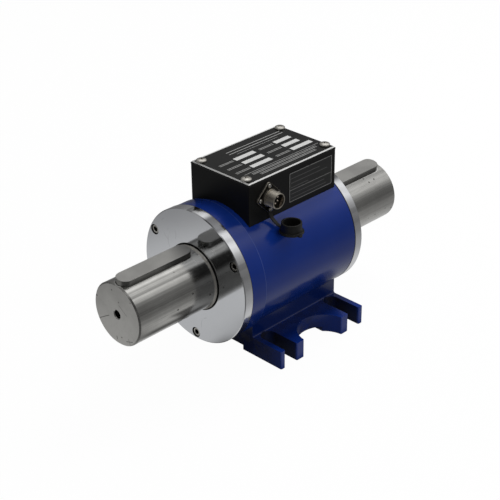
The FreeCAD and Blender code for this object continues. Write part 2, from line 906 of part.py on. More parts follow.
def make_box():
    body = box_block(0, 0, box_top)
    upright = [e for e in body.Edges if e.BoundBox.ZLength > 1]
    body = body.makeFillet(box_edge_round, upright)
    barrel = rod_x(barrel_r, -body_half, body_half)
    skin = rod_x(barrel_r + box_floor, -body_half, body_half)
    posts = [corner_post(a, b) for a in ends for b in ends]
    cavity = box_block(box_wall, 0, box_top).cut([skin] + posts)
    bosses = [rod_z(mount_boss_r, 0, boss_top, x, y) for x, y in mount_screw_places()]
    bosses.append(rod_z(pickup_boss_r, 0, boss_top, pickup_x, 0))
    bosses.append(rod_z(grommet_boss_r, 0, boss_top, grommet_x, 0))
    legs = [rod_z(standoff_r, 0, main_board_z, x, y) for x, y in standoff_places()]
    body = body.cut(cavity).multiFuse(bosses + legs)
    cuts = [barrel]
    for x, y in mount_screw_places():
        cuts.append(rod_z(m4_cheese["shank_r"] + hole_gap, 0, boss_top, x, y))
    cuts.append(rod_z(pickup_r + hole_gap, 0, boss_top, pickup_x, 0))
    cuts.append(rod_z(grommet_r + seat_gap, 0, boss_top, grommet_x, 0))
    for x, y in lid_screw_places():
        floor = box_top - m5_pan["length"]
        cuts.append(rod_z(m5_pan["shank_r"] + thread_gap, floor, box_top, x, y))
    for x, y in standoff_places():
        floor = main_board_z - m3_cheese["length"]
        cuts.append(rod_z(m3_cheese["shank_r"] + thread_gap, floor, main_board_z, x, y))
    groove = box_block(seal_edge, box_top - seal_depth, box_top)
    groove = groove.cut(box_block(seal_edge + seal_width, box_top - seal_depth, box_top))
    cuts.append(groove)
    cuts.append(rod_y(connector_tail_r + hole_gap, front_y, front_y + box_wall,
                      connector_x, connector_z))
    for x, z in connector_screw_places():
        cuts.append(rod_y(m2_cheese["shank_r"] + thread_gap, front_y, front_y + box_wall, x, z))
    return body.cut(cuts)


def make_box_seal():
    outer = box_block(seal_edge, box_top - seal_depth, box_top)
    return outer.cut(box_block(seal_edge + seal_width, box_top - seal_depth, box_top))


def make_lid():
    lid = box_block(0, box_top, box_top + lid_thickness)
    rim = [e for e in lid.Edges if e.BoundBox.ZMin > box_top + lid_thickness - 1e-3]
    lid = lid.makeChamfer(lid_bevel, rim)
    holes = [rod_z(m5_pan["shank_r"] + hole_gap, box_top, box_top + lid_thickness, x, y)
             for x, y in lid_screw_places()]
    return lid.cut(holes)


def make_lid_screws():
    screw = pan_screw(m5_pan)
    return [placed(screw, Vector(x, y, box_top + lid_thickness), axis_z)
            for x, y in lid_screw_places()]


def make_mount_screws():
    screw = cheese_screw(m4_cheese)
    return [placed(screw, Vector(x, y, boss_top), axis_z) for x, y in mount_screw_places()]


def make_main_board():
    """The board with its parts soldered on: chips, a header and tall capacitors."""
    top = main_board_z + main_board_thickness
    board = block(station_x - board_half_x, station_x + board_half_x,
                  -board_half_y, board_half_y, main_board_z, top)
    fitted = []
    half = chip_size / 2
    for i in range(chip_count):
        x = station_x + chip_pitch * (i - (chip_count - 1) / 2)
        fitted.append(block(x - half, x + half, chip_row_y - half, chip_row_y + half,
                            top, top + chip_height))
        fitted.append(rod_z(capacitor_r, top, top + capacitor_height, x, capacitor_row_y))
    x = station_x - board_half_x + header_edge
    half = header_length / 2
    fitted.append(block(x, x + header_width, -half, half, top, top + header_height))
    x = station_x + board_half_x - terminal_edge
    half = terminal_length / 2
    fitted.append(block(x - terminal_width, x, terminal_y - half, terminal_y + half,
                        top, top + terminal_height))
    holes = [rod_z(m3_cheese["shank_r"] + hole_gap, main_board_z, top, x, y)
             for x, y in standoff_places()]
    return fused([board] + fitted).cut(holes)


def make_board_screws():
    screw = cheese_screw(m3_cheese)
    top = main_board_z + main_board_thickness
    return [placed(screw, Vector(x, y, top), axis_z) for x, y in standoff_places()]


def make_grommet():
    r = grommet_r
    bottom = barrel_bore_r + seat_gap
    sleeve = turned_upright(grommet_x, 0, (grommet_bore_r, bottom), (r, bottom), (r, boss_top),
                            (grommet_brim_r, boss_top),
                            (grommet_brim_r, boss_top + grommet_brim),
                            (grommet_bore_r, boss_top + grommet_brim))
    return sleeve.cut(rod_x(barrel_bore_r + seat_gap, -body_half, body_half))


# Signal connector

def connector_screw_places():
    r = connector_screw_circle_r
    return [(connector_x + r * math.sin(math.radians(a)), connector_z + r * math.cos(math.radians(a)))
            for a in (0, 90, 180, 270)]


def corner_square(y0, y1):
    """The connector's square flange, standing on its corner."""
    half = connector_flange / 2
    plate = block(-half, half, y0, y1, -half, half)
    edges = [e for e in plate.Edges if e.BoundBox.YLength > 1e-3]
    plate = plate.makeFillet(connector_flange_round, edges)
    plate.rotate(origin, Vector(0, 1, 0), 45)
    return plate.translated(Vector(connector_x, 0, connector_z))


def make_connector_shell():
    x = connector_x
    z = connector_z
    barrel = rod_y(connector_shell_r, shell_front, connector_front, x, z)
    lip = [e for e in barrel.Edges if e.BoundBox.YMax < shell_front + 1e-3]
    barrel = barrel.makeChamfer(connector_rim_chamfer, lip)
    collar = rod_y(connector_collar_r, connector_front - connector_collar_length,
                   connector_front, x, z)
    tail = rod_y(connector_tail_r, connector_back, front_y + box_wall + connector_tail_length, x, z)
    shell = fused([corner_square(connector_front, connector_back), barrel, collar, tail])
    cuts = [rod_y(connector_bore_r, shell_front, insert_front + insert_length, x, z),
            rod_y(pin_circle_r + 2 * pin_r, insert_front, front_y + box_half_width, x, z)]
    for sx, sz in connector_screw_places():
        cuts.append(rod_y(m2_cheese["shank_r"] + hole_gap, connector_front, connector_back, sx, sz))
    return shell.cut(cuts)


def make_connector_gasket():
    gasket = corner_square(connector_back, front_y)
    cuts = [rod_y(connector_tail_r + hole_gap, connector_back, front_y, connector_x, connector_z)]
    for x, z in connector_screw_places():
        cuts.append(rod_y(m2_cheese["shank_r"] + hole_gap, connector_back, front_y, x, z))
    return gasket.cut(cuts)


def pin_places():
    """Five contacts on a circle, with the gap of a sixth at the top."""
    places = []
    for i in range(pin_count):
        angle = math.radians(360 * (i + 1) / (pin_count + 1))
        places.append((connector_x + pin_circle_r * math.sin(angle),
                       connector_z + pin_circle_r * math.cos(angle)))
    return places


def make_insert():
    insert = rod_y(connector_bore_r - seat_gap, insert_front, insert_front + insert_length,
                   connector_x, connector_z)
    holes = [rod_y(pin_r + seat_gap, insert_front, insert_front + insert_length, x, z)
             for x, z in pin_places()]
    return insert.cut(holes)


def make_pins():
    """Round contacts with domed tips."""
    pins = []
    for x, z in pin_places():
        tip = insert_front - pin_reach + pin_r
        body = rod_y(pin_r, tip, insert_front + insert_length + pin_tail, x, z)
        pins.append(fused([body, Part.makeSphere(pin_r, Vector(x, tip, z))]))
    return pins


def make_connector_screws():
    """Four small screws; the lowest also holds the dust cap's eyelet."""
    screw = cheese_screw(m2_cheese)
    screws = []
    for x, z in connector_screw_places():
        under_head = connector_front
        if z < connector_z - connector_screw_circle_r / 2:
            under_head -= strap_thickness + 2 * strap_gap
        screws.append(placed(screw, Vector(x, under_head, z), Vector(0, -1, 0)))
    return screws


# Dust cap with its strap and eyelet, moulded in one

def strap_section(t):
    """One cross-section of the strap, from the eyelet at t = 0 to the cap at t = 1."""
    run = math.hypot(cap_x - connector_x, cap_y - strap_plane)
    toward = Vector((cap_x - connector_x) / run, (cap_y - strap_plane) / run, 0)
    reach = run - cap_r + cap_brim / 2
    seat_z = cap_bottom + cap_brim + strap_thickness
    start_z = eyelet_z - eyelet_r / 2
    corners = [(0, start_z), (0, start_z - 0.45 * (start_z - seat_z)),
               (0.63 * reach, seat_z + 0.18 * (start_z - seat_z)), (reach, seat_z)]
    weights = [(1 - t) ** 3, 3 * (1 - t) ** 2 * t, 3 * (1 - t) * t**2, t**3]
    slopes = [-3 * (1 - t) ** 2, 3 * (1 - t) ** 2 - 6 * (1 - t) * t,
              6 * (1 - t) * t - 3 * t**2, 3 * t**2]
    s = sum(w * c[0] for w, c in zip(weights, corners))
    z = sum(w * c[1] for w, c in zip(weights, corners))
    heading = toward * sum(w * c[0] for w, c in zip(slopes, corners))
    heading += axis_z * sum(w * c[1] for w, c in zip(slopes, corners))
    heading.normalize()
    ease = t * t * (3 - 2 * t)
    across = axis_x * (1 - ease) + axis_z.cross(toward) * ease
    across = across - heading * across.dot(heading)
    across.normalize()
    through = heading.cross(across)
    middle = Vector(connector_x, strap_plane, z) + toward * s
    a = across * (strap_width / 2)
    b = through * (strap_thickness / 2)
    points = [middle - a - b, middle + a - b, middle + a + b, middle - a + b]
    return Part.makePolygon(points + points[:1])


def make_dust_cap():
    z0 = cap_bottom
    z1 = cap_bottom + cap_height
    lip = (cap_r - cap_bore_r) / 4
    cup = turned_upright(cap_x, cap_y, (0, z0), (cap_brim_r - lip, z0), (cap_brim_r, z0 + lip),
                         (cap_brim_r, z0 + cap_brim), (cap_r, z0 + cap_brim),
                         (cap_r, z1 - lip), (cap_r - lip, z1), (cap_bore_r + lip, z1),
                         (cap_bore_r, z1 - lip), (cap_bore_r, z0 + cap_floor),
                         (0, z0 + cap_floor))
    angle = math.radians(cap_tab_angle)
    tab = rod_z(cap_tab_r, z0, z0 + cap_brim, cap_x + cap_brim_r * math.cos(angle),
                cap_y + cap_brim_r * math.sin(angle))
    sections = [strap_section(i / (strap_sections - 1)) for i in range(strap_sections)]
    strap = Part.makeLoft(sections, True, False)
    front = strap_plane - strap_thickness / 2
    back = strap_plane + strap_thickness / 2
    eyelet = rod_y(eyelet_r, front, back, connector_x, eyelet_z)
    cap = fused([cup, tab, strap, eyelet])
    bore = rod_z(cap_bore_r, z0 + cap_floor, z1, cap_x, cap_y)
    return cap.cut([rod_y(eyelet_hole_r, front, back, connector_x, eyelet_z), bore])


# The finished pieces

keep("housing", make_housing())
keep("near_flange", make_flange(near_flange_r, near_screw_circle_r))
keep("far_flange", mirrored_x(make_flange(far_flange_r, far_screw_circle_r)))
keep("near_flange_screws", make_flange_screws(near_screw_circle_r))
keep("far_flange_screws", [mirrored_x(s) for s in make_flange_screws(far_screw_circle_r)])
keep("shaft", make_shaft())
keep("near_key", make_key(-1))
keep("far_key", make_key(1))
for place, bearing_x in (("near", near_bearing_x), ("far", far_bearing_x)):
    keep(f"{place}_bearing_outer_ring", make_outer_ring(bearing_x))
    keep(f"{place}_bearing_inner_ring", make_inner_ring(bearing_x))
    keep(f"{place}_bearing_balls", make_balls(bearing_x))
    keep(f"{place}_bearing_cage", make_cage(bearing_x))
keep("near_circlip", mirrored_x(make_circlip(bearing_outboard(near_shoulder_x))))
keep("far_circlip", make_circlip(bearing_outboard(far_shoulder_x)))
keep("wave_washer", make_wave_washer())
keep("rotor_core", make_rotor_core())
keep("rotor_winding", make_rotor_winding())
keep("stator_core", make_stator_core())
keep("stator_winding", make_stator_winding())
keep("rotor_board", make_rotor_board())
keep("strain_gauges", make_gauges())
keep("speed_disc", make_speed_disc())
keep("speed_pickup", make_pickup())
keep("pickup_nut", make_pickup_nut())
keep("box_body", make_box())
keep("box_seal", make_box_seal())
keep("box_lid", make_lid())
keep("lid_screws", make_lid_screws())
keep("box_mount_screws", make_mount_screws())
keep("main_board", make_main_board())
keep("board_screws", make_board_screws())
keep("wire_grommet", make_grommet())
keep("connector_shell", make_connector_shell())
keep("connector_gasket", make_connector_gasket())
keep("connector_insert", make_insert())
keep("connector_pins", make_pins())
keep("connector_screws", make_connector_screws())
keep("dust_cap", make_dust_cap())
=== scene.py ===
import bmesh
import bpy
import math
from mathutils import Matrix, Vector


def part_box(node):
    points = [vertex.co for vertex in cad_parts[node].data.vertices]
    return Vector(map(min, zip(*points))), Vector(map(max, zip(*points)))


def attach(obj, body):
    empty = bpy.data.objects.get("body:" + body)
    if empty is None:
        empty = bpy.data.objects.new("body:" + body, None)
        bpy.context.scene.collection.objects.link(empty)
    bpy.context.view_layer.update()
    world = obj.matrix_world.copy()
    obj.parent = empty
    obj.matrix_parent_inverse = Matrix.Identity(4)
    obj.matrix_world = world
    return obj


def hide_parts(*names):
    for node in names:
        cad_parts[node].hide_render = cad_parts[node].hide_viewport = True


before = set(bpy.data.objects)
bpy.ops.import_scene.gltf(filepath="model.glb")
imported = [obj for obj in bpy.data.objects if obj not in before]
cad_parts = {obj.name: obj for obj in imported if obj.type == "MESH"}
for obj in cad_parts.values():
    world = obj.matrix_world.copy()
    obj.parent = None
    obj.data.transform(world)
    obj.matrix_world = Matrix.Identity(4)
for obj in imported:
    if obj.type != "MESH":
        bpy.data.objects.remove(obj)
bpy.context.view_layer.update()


# Housing
# One iron casting with the barrel, the collar and the slotted foot, machined at its ends
# and underside, then sprayed with deep blue gloss enamel. Shade is painted darker on the
# pedestal's flanks, on the foot's top and in the slots, and a highlight is painted along the
# collar's edge.

AXIS_HEIGHT = 0.089
COLLAR_END = -0.0563
BARREL_END = 0.0760
PEDESTAL_HALF = 0.0424
FOOT_MIDDLE = 0.012
FOOT_TOP = 0.0200
SLOT_REACH = 0.0470
SLOT_HALF = 0.00845


class Wire:
    """One socket in a finish. Sums and products of it add Math nodes to that finish."""

    def __init__(self, tree, socket=None):
        self.tree = tree
        self.socket = socket

    def node(self, kind, *values, output=0, settings=None, stops=(), **sockets):
        """A new node: its settings, a ramp's grey stops, then values or links of its sockets."""
        made = self.tree.nodes.new(kind)
        for name, value in (settings or {}).items():
            setattr(made, name, value)
        for i, (position, grey) in enumerate(stops):
            stop = made.color_ramp.elements[i] if i < 2 else made.color_ramp.elements.new(position)
            stop.position = position
            stop.color = (grey, grey, grey, 1.0)
        for key, value in [*enumerate(values), *sockets.items()]:
            if value is None:
                continue
            socket = made.inputs[key if isinstance(key, int) else key.replace("_", " ")]
            if isinstance(value, Wire):
                self.tree.links.new(value.socket, socket)
            else:
                socket.default_value = (*value, 1.0) if socket.type == "RGBA" else value
        return Wire(self.tree, made.outputs[output] if made.outputs else None)

    def math(self, operation, *others):
        return self.node("ShaderNodeMath", self, *others, settings={"operation": operation})

    def __add__(self, other):
        return self.math("ADD", other)

    def __radd__(self, other):
        return self.math("ADD", other)

    def __sub__(self, other):
        return self.math("SUBTRACT", other)

    def __rsub__(self, other):
        return self.node("ShaderNodeMath", other, self, settings={"operation": "SUBTRACT"})

    def __mul__(self, other):
        return self.math("MULTIPLY", other)

    def __rmul__(self, other):
        return self.math("MULTIPLY", other)

    def __truediv__(self, other):
        return self.math("DIVIDE", other)

    def __pow__(self, other):
        return self.math("POWER", other)

    def __gt__(self, other):
        return self.math("GREATER_THAN", other)

    def __lt__(self, other):
        return self.math("LESS_THAN", other)

    def __abs__(self):
        return self.math("ABSOLUTE")

    def step(self, low, high):
        """A smooth step from 0 at low to 1 at high; low may be the larger."""
        return self.node("ShaderNodeMapRange", self, low, high,
                         settings={"interpolation_type": "SMOOTHSTEP"})

    def apart(self):
        """The x, y and z of a vector."""
        return [self.node("ShaderNodeSeparateXYZ", self, output=i) for i in range(3)]

    def dot(self, direction):
        """How far this vector points in a direction."""
        return self.node("ShaderNodeVectorMath", self, direction, output="Value",
                         settings={"operation": "DOT_PRODUCT"})

    def stretched(self, *count):
        """A place scaled so that a pattern on it has this count per metre, or one for each axis."""
        return self.node("ShaderNodeVectorMath", self, count if len(count) == 3 else count * 3,
                         settings={"operation": "MULTIPLY"})

    def noise(self, *count, detail=2.0, rough=0.5):
        """Cloudy values about 0.5, with this count of lumps per metre."""
        return self.node("ShaderNodeTexNoise", settings={"noise_dimensions": "3D"}, Scale=1.0,
                         Vector=self.stretched(*count), Detail=detail, Roughness=rough)

    def cells(self, *count, feature="F1", output=0):
        """The distance to scattered points, of which there are this count per metre."""
        return self.node("ShaderNodeTexVoronoi", settings={"feature": feature}, output=output,
                         Vector=self.stretched(*count), Scale=1.0, Randomness=1.0)

    def spots(self, *count, size, core, above, channel=0):
        """Spots at those scattered points that have a random value above a limit."""
        chosen = self.cells(*count, output=1).apart()[channel] > above
        return self.cells(*count).step(size, core) * chosen

    def facing(self):
        """The x, y and z of the direction that the surface looks in."""
        return self.node("ShaderNodeTexCoord", output="Normal").apart()

    def blend(self, first, second):
        """From the first colour to the second as this value goes from 0 to 1."""
        other_kinds = [None] * 5
        return self.node("ShaderNodeMix", self, *other_kinds, first, second, output=2,
                         settings={"data_type": "RGBA"})


def finish(name, recipe, edge=0.0, **fixed):
    """A material from a recipe that turns a place on the piece into varying sockets.
    Height is a bump in metres, and edge is the radius of the softened corners."""
    material = bpy.data.materials.new(name)
    material.use_nodes = True
    material.node_tree.nodes.clear()
    start = Wire(material.node_tree)
    sockets = recipe(start.node("ShaderNodeTexCoord", output="Object"))
    corner = start.node("ShaderNodeBevel", edge, settings={"samples": 6}) if edge else None
    sockets["Normal"] = start.node("ShaderNodeBump", Strength=1.0, Distance=1.0,
                                   Height=sockets.pop("Height"), Normal=corner)
    shader = start.node("ShaderNodeBsdfPrincipled", **sockets, **fixed)
    start.node("ShaderNodeOutputMaterial", shader)
    return material


def dress(material, *names):
    """Give frame nodes a finish."""
    for name in names:
        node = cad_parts[name]
        node.data.materials.clear()
        node.data.materials.append(material)


def span_of(a, b):
    """The length of the long side over two short ones."""
    return (a * a + b * b) ** 0.5


def about_shaft(place):
    """A place as x, then across and up from the centre line, then radius and angle about it."""
    x, y, z = place.apart()
    up = z - AXIS_HEIGHT
    return x, y, up, span_of(y, up), y.math("ARCTAN2", up)


def blue_enamel(place):
    x, y, z = place.apart()
    aside = abs(y)
    drift = place.noise(16, detail=3.0)
    colour = drift.step(0.3, 0.7).blend((0.0034, 0.0205, 0.160), (0.0044, 0.0240, 0.182))
    # Painted shade: the pedestal's flanks below the barrel and the foot's top are painted a darker
    # blue, where the barrel shades them.
    flank_shade = 0.72 * aside.step(PEDESTAL_HALF + 0.0016, PEDESTAL_HALF + 0.0006) * z.step(0.062, 0.045)
    foot = 0.5 * aside.step(0.084, 0.060) * z.step(FOOT_TOP + 0.0025, FOOT_TOP + 0.0003)
    colour = flank_shade.math("MAXIMUM", foot).blend(colour, (0.0012, 0.0040, 0.0260))
    # Painted shade: the walls inside the foot's slots are painted near black.
    off_slot = abs(abs(x - FOOT_MIDDLE) - SLOT_REACH)
    slot_shade = off_slot.step(SLOT_HALF + 0.00075, SLOT_HALF + 0.00015)
    slot_shade = slot_shade * aside.step(0.0815, 0.0780) * (z < FOOT_TOP - 0.0001)
    colour = (0.75 * slot_shade).blend(colour, (0.002, 0.003, 0.006))
    grime = aside.step(0.075, 0.050) * z.step(FOOT_TOP + 0.004, FOOT_TOP - 0.004)
    grime = grime * place.noise(90, detail=4.0).step(0.42, 0.62)
    colour = (grime * 0.55).blend(colour, (0.010, 0.008, 0.005))
    # Painted highlight: a lighter blue line along the collar's edge, broken up by noise.
    collar_highlight = x.step(COLLAR_END - 0.0014, COLLAR_END - 0.0009) * (x < COLLAR_END + 0.0003)
    collar_highlight = collar_highlight * (0.4 + place.noise(45, detail=3.0))
    colour = (collar_highlight * 0.55).blend(colour, (0.085, 0.130, 0.340))
    seam = abs(x).step(BARREL_END - 0.0009, BARREL_END - 0.0003)
    colour = (seam * 0.90).blend(colour, (0.0015, 0.0030, 0.0150))
    sag = place.noise(60, detail=1.0)
    peel = place.noise(420, detail=1.0)
    return {"Base_Color": colour,
            "Roughness": 0.15 + 0.07 * drift + 0.35 * grime + 0.3 * (seam + slot_shade),
            "Height": 0.00003 * sag + 0.000003 * peel}


dress(finish("blue_enamel", blue_enamel, edge=0.0005, IOR=1.46), "housing")


# Bearings
# Two sealed-for-life ball bearings of ground and hardened steel with turned brass cages,
# pressed into the casting and held on the shaft by spring steel circlips.

def ground_steel(place):
    lines = place.noise(900, 40, 40)
    return {"Base_Color": lines.blend((0.50, 0.50, 0.51), (0.62, 0.62, 0.63)),
            "Roughness": 0.14 + 0.10 * lines, "Height": 0.000002 * lines}


def turned_brass(place):
    lines = place.noise(1400, 60, 60)
    return {"Base_Color": lines.blend((0.55, 0.36, 0.12), (0.68, 0.47, 0.18)),
            "Roughness": 0.28 + 0.14 * lines, "Height": 0.000004 * lines}


def blued_spring(place):
    cloud = place.noise(60, detail=3.0)
    return {"Base_Color": cloud.blend((0.045, 0.047, 0.055), (0.11, 0.11, 0.12)),
            "Roughness": 0.32 + 0.12 * cloud, "Height": 0.000006 * place.noise(1200)}


race = finish("ground_steel", ground_steel, Metallic=1.0)
brass = finish("turned_brass", turned_brass, Metallic=1.0)
spring = finish("blued_spring", blued_spring, Metallic=1.0)
for end in ("near", "far"):
    dress(race, f"{end}_bearing_outer_ring", f"{end}_bearing_inner_ring", f"{end}_bearing_balls")
    dress(brass, f"{end}_bearing_cage")
    dress(spring, f"{end}_circlip")
dress(spring, "wave_washer")


# Shaft
# Alloy steel, turned and then ground all round, and bare, so it has picked up handling
# stains, specks and a few nicks. Its end faces are only faced off and look duller.
# Highlights are painted round the keyway edges, and dark reflections are painted as lines
# along the near journal.

KEYWAY_HALF = 0.0090
JOURNAL = 0.0325
UPPER_SIDE = 0.021
LAND_TIP_START = 0.0876
LAND_TIP_END = 0.0900
# The keyways: from, to and degrees from the top
KEYWAYS = ((-0.1830, -0.0942, 4.2), (0.0899, 0.1787, 9.4))
# Scratches on the near end face: from, to and width in millimetres
FACE_MARKS = (((12.0, -5.6), (30.5, -16.9), 0.55), ((-11.5, -24.6), (-20.5, -21.6), 0.50),
              ((-14.5, -20.8), (-16.5, -25.6), 0.40), ((2.5, -24.5), (1.8, -27.5), 0.70),
              ((-3.5, 11.5), (-14.0, 4.0), 0.30))
# Painted dark reflections, as lines along the near journal: degrees from the top, half width and
# strength
DARK_REFLECTION_LINES = ((30, 3.0, 0.16), (40, 3.0, 0.34), (56, 7.0, 0.18))


def scratch(across, up, start, end, width):
    """A straight mark on a face between two points, in millimetres."""
    start, end, width = Vector(start) / 1000, Vector(end) / 1000, width / 1000
    length = (end - start).length
    ahead = (end - start).normalized()
    side = Vector((-ahead.y, ahead.x))
    along = across * ahead.x + up * ahead.y - start.dot(ahead)
    off = across * side.x + up * side.y - start.dot(side)
    ends = along.step(-0.0005, 0.0) * along.step(length + 0.0005, length)
    return ends * abs(off).step(width, 0.3 * width)


def near_line(angle, degrees, half, core):
    """One at a line along the shaft, some degrees from the top towards the connector's side."""
    return abs(angle + math.radians(degrees)).step(math.radians(half), math.radians(core))


def keyway_highlight_band(x, across, up, start, end, degrees):
    """The band round the edge of a keyway that runs from start to end along the shaft, where a
    highlight is painted.
    """
    turn = math.radians(degrees)
    aside = across * math.cos(turn) + up * math.sin(turn)
    straight = (end - start) / 2 - KEYWAY_HALF
    past = (abs(x - (start + end) / 2) - straight).math("MAXIMUM", 0.0)
    off = span_of(past, aside) - KEYWAY_HALF
    return off.step(0.0011, 0.0005) * off.step(-0.0002, 0.0001) * (up > UPPER_SIDE)


def shaft_steel(place):
    x, across, up, radius, angle = about_shaft(place)
    near_end = x < 0.0
    flat = abs(place.facing()[0])
    face = flat.step(0.80, 0.95)
    round_part = 1 - face
    chamfer = flat.step(0.45, 0.60) * flat.step(0.90, 0.80)
    drawn = place.noise(9, 900, 900, detail=4.0, rough=0.65)
    broad = place.noise(5, 330, 330, detail=3.0)
    streak = place.noise(4, 1300, 1300, detail=3.0)
    stain = place.noise(30, detail=5.0, rough=0.62)
    smear = place.noise(40, 300, 300, detail=4.0, rough=0.6)
    pit = place.spots(105, size=0.125, core=0.075, above=0.60)
    swirl = (radius * 2600.0).math("SINE") * 0.5 + 0.5
    marks = sum(scratch(across, up, *mark) for mark in FACE_MARKS)
    marks = marks.math("MINIMUM", 1.0) * face * near_end
    tint = stain.step(0.32, 0.70).blend((0.48, 0.475, 0.455), (0.58, 0.575, 0.552))
    tint = (streak.step(0.40, 0.66) * 0.34 * round_part).blend(tint, (0.30, 0.297, 0.285))
    tint = (smear.step(0.50, 0.72) * 0.25).blend(tint, (0.30, 0.295, 0.28))
    faced = stain.step(0.35, 0.65).blend((0.44, 0.436, 0.418), (0.52, 0.515, 0.494))
    tint = (face * 0.6).blend(tint, faced)
    tint = (chamfer * 0.25).blend(tint, (0.28, 0.277, 0.265))
    # Painted highlight: a bright band round the keyway edges, broken up by the stains.
    keyway_highlight = sum(keyway_highlight_band(x, across, up, *keyway) for keyway in KEYWAYS)
    keyway_highlight = keyway_highlight * (0.25 + 0.75 * stain.step(0.40, 0.55)) * round_part
    tint = (keyway_highlight * 0.75).blend(tint, (0.86, 0.855, 0.83))
    span = abs(x)
    land_tip = span.step(LAND_TIP_START, LAND_TIP_START + 0.0003)
    land_tip = land_tip * span.step(LAND_TIP_END, LAND_TIP_END - 0.0006) * (radius > JOURNAL + 0.0001)
    tint = (land_tip * 0.7).blend(tint, (0.62, 0.60, 0.55))
    tint = (marks * 0.80).blend(tint, (0.06, 0.058, 0.052))
    tint = (pit * 0.85).blend(tint, (0.05, 0.045, 0.04))
    # Painted reflection: dark lines at fixed angles along the near journal.
    for degrees, half, strength in DARK_REFLECTION_LINES:
        line = near_line(angle, degrees, half, 0.3 * half) * round_part * near_end
        tint = (line * strength).blend(tint, (0.10, 0.098, 0.092))
    scuff = abs(angle + math.radians(24)).step(0.22, 0.12)
    scuff = scuff * x.step(-0.1010, -0.0965) * x.step(-0.0885, -0.0900) * smear.step(0.30, 0.55)
    tint = (scuff * 0.6).blend(tint, (0.80, 0.795, 0.77))
    dull = 0.25 * (face + pit + land_tip + scuff) + 0.12 * chamfer
    rough = 0.105 + 0.05 * stain + 0.05 * drawn + dull
    height = round_part * (0.000009 * drawn + 0.000035 * broad) + face * 0.0000035 * swirl
    return {"Base_Color": tint, "Roughness": rough, "Height": height - 0.00002 * pit}


dress(finish("shaft_steel", shaft_steel, edge=0.0003, Metallic=1.0), "shaft")


# Keys
# Drawn key steel cut to length with round ends, pushed into the keyways by hand.
# It is left as drawn: a matt, slightly grainy grey. Its sides are painted darker than its top, as
# shade.

def key_steel(place):
    up = place.facing()[2].step(0.45, 0.65)
    grain = place.noise(1500, detail=3.0)
    draw = place.noise(20, 900, 900, detail=3.0)
    cloud = place.noise(45, detail=4.0)
    # Painted shade: the key's sides are painted darker than its top.
    top = cloud.step(0.3, 0.7).blend((0.42, 0.415, 0.40), (0.50, 0.495, 0.475))
    side = cloud.step(0.3, 0.7).blend((0.20, 0.198, 0.188), (0.28, 0.277, 0.262))
    return {"Base_Color": up.blend(side, top), "Roughness": 0.22 + 0.14 * up + 0.08 * cloud,
            "Height": 0.000003 * grain + 0.000004 * draw}


dress(finish("key_steel", key_steel, edge=0.0003, Metallic=1.0), "near_key", "far_key")


# Rotary transformer, boards and gauges
# Ferrite rings with wound coils carry power and signal between the turning shaft and the
# barrel. The round board and the foil gauges are bonded to the shaft.

def ferrite(place):
    grain = place.noise(700, detail=4.0)
    return {"Base_Color": grain.blend((0.020, 0.020, 0.022), (0.045, 0.045, 0.047)),
            "Roughness": 0.48 + 0.2 * grain, "Height": 0.00001 * grain}


def wound_copper(place):
    turns = (place.apart()[0] * 12000.0).math("SINE") * 0.5 + 0.5
    return {"Base_Color": turns.blend((0.30, 0.09, 0.03), (0.55, 0.20, 0.08)),
            "Roughness": 0.30 + 0.1 * turns, "Height": 0.00006 * turns}


def solder_mask(place):
    tracks = place.cells(300, feature="DISTANCE_TO_EDGE").step(0.08, 0.04)
    return {"Base_Color": tracks.blend((0.006, 0.060, 0.022), (0.012, 0.110, 0.040)),
            "Roughness": 0.34 + 0.1 * tracks, "Height": 0.00002 * tracks}


def gauge_film(place):
    grid = (place.apart()[0] * 9000.0).math("SINE").step(-0.1, 0.1)
    return {"Base_Color": grid.blend((0.42, 0.20, 0.05), (0.60, 0.42, 0.16)),
            "Roughness": 0.32 + 0.1 * grid, "Height": 0.000008 * grid}


dress(finish("ferrite", ferrite), "rotor_core", "stator_core")
dress(finish("wound_copper", wound_copper, Metallic=0.8), "rotor_winding", "stator_winding")
dress(finish("solder_mask", solder_mask, Coat_Weight=0.3), "rotor_board", "main_board")
dress(finish("gauge_film", gauge_film), "strain_gauges")


# Speed disc, its pickup and the plain screws
# A milled steel disc turns below a threaded pickup that is locked by a thin nut. These and
# the small screws inside the box are zinc plated.

def zinc_plate(place):
    cloud = place.noise(260, detail=3.0)
    return {"Base_Color": cloud.blend((0.50, 0.49, 0.46), (0.64, 0.63, 0.60)),
            "Roughness": 0.24 + 0.14 * cloud, "Height": 0.000005 * place.noise(1800)}


dress(finish("zinc_plate", zinc_plate, edge=0.0002, Metallic=1.0),
      "speed_disc", "speed_pickup", "pickup_nut", "box_mount_screws", "board_screws")


# End flanges
# Turned from aluminium bar, spigoted into the barrel and polished. The faces mirror the
# shaft and have fine scratches and specks, and the rims keep streaks from the polishing.
# Dark bands are painted on the rims as reflections, and shade is painted near black in the
# bore gap round the shaft and on the walls of the screw counterbores.

FLANGE_FACE = 0.0864
SCREW_CIRCLES = {"near": 0.0640, "far": 0.0605}
SCREW_ANGLES = (60, 180, 300)
COUNTERBORE = 0.0055
BORE_GAP = 0.0355
# Dark bands painted along the rims as reflections: degrees from the top, half width and strength
RIM_DARK_REFLECTIONS = ((-3, 4, 0.6), (22, 12, 0.95), (62, 3, 0.25), (-40, 8, 0.4), (140, 10, 0.3))
# Polishing rings on the faces: centre and radius in millimetres
FACE_RINGS = (((39, 44), 5.5), ((33, 37), 9.0), ((20, 28), 16.0), ((-20, -52), 12.0))


def ring_mark(across, up, centre, radius):
    """A thin round mark on a face, in millimetres."""
    off = span_of(across - centre[0] / 1000, up - centre[1] / 1000) - radius / 1000
    return abs(off).step(0.0005, 0.0001)


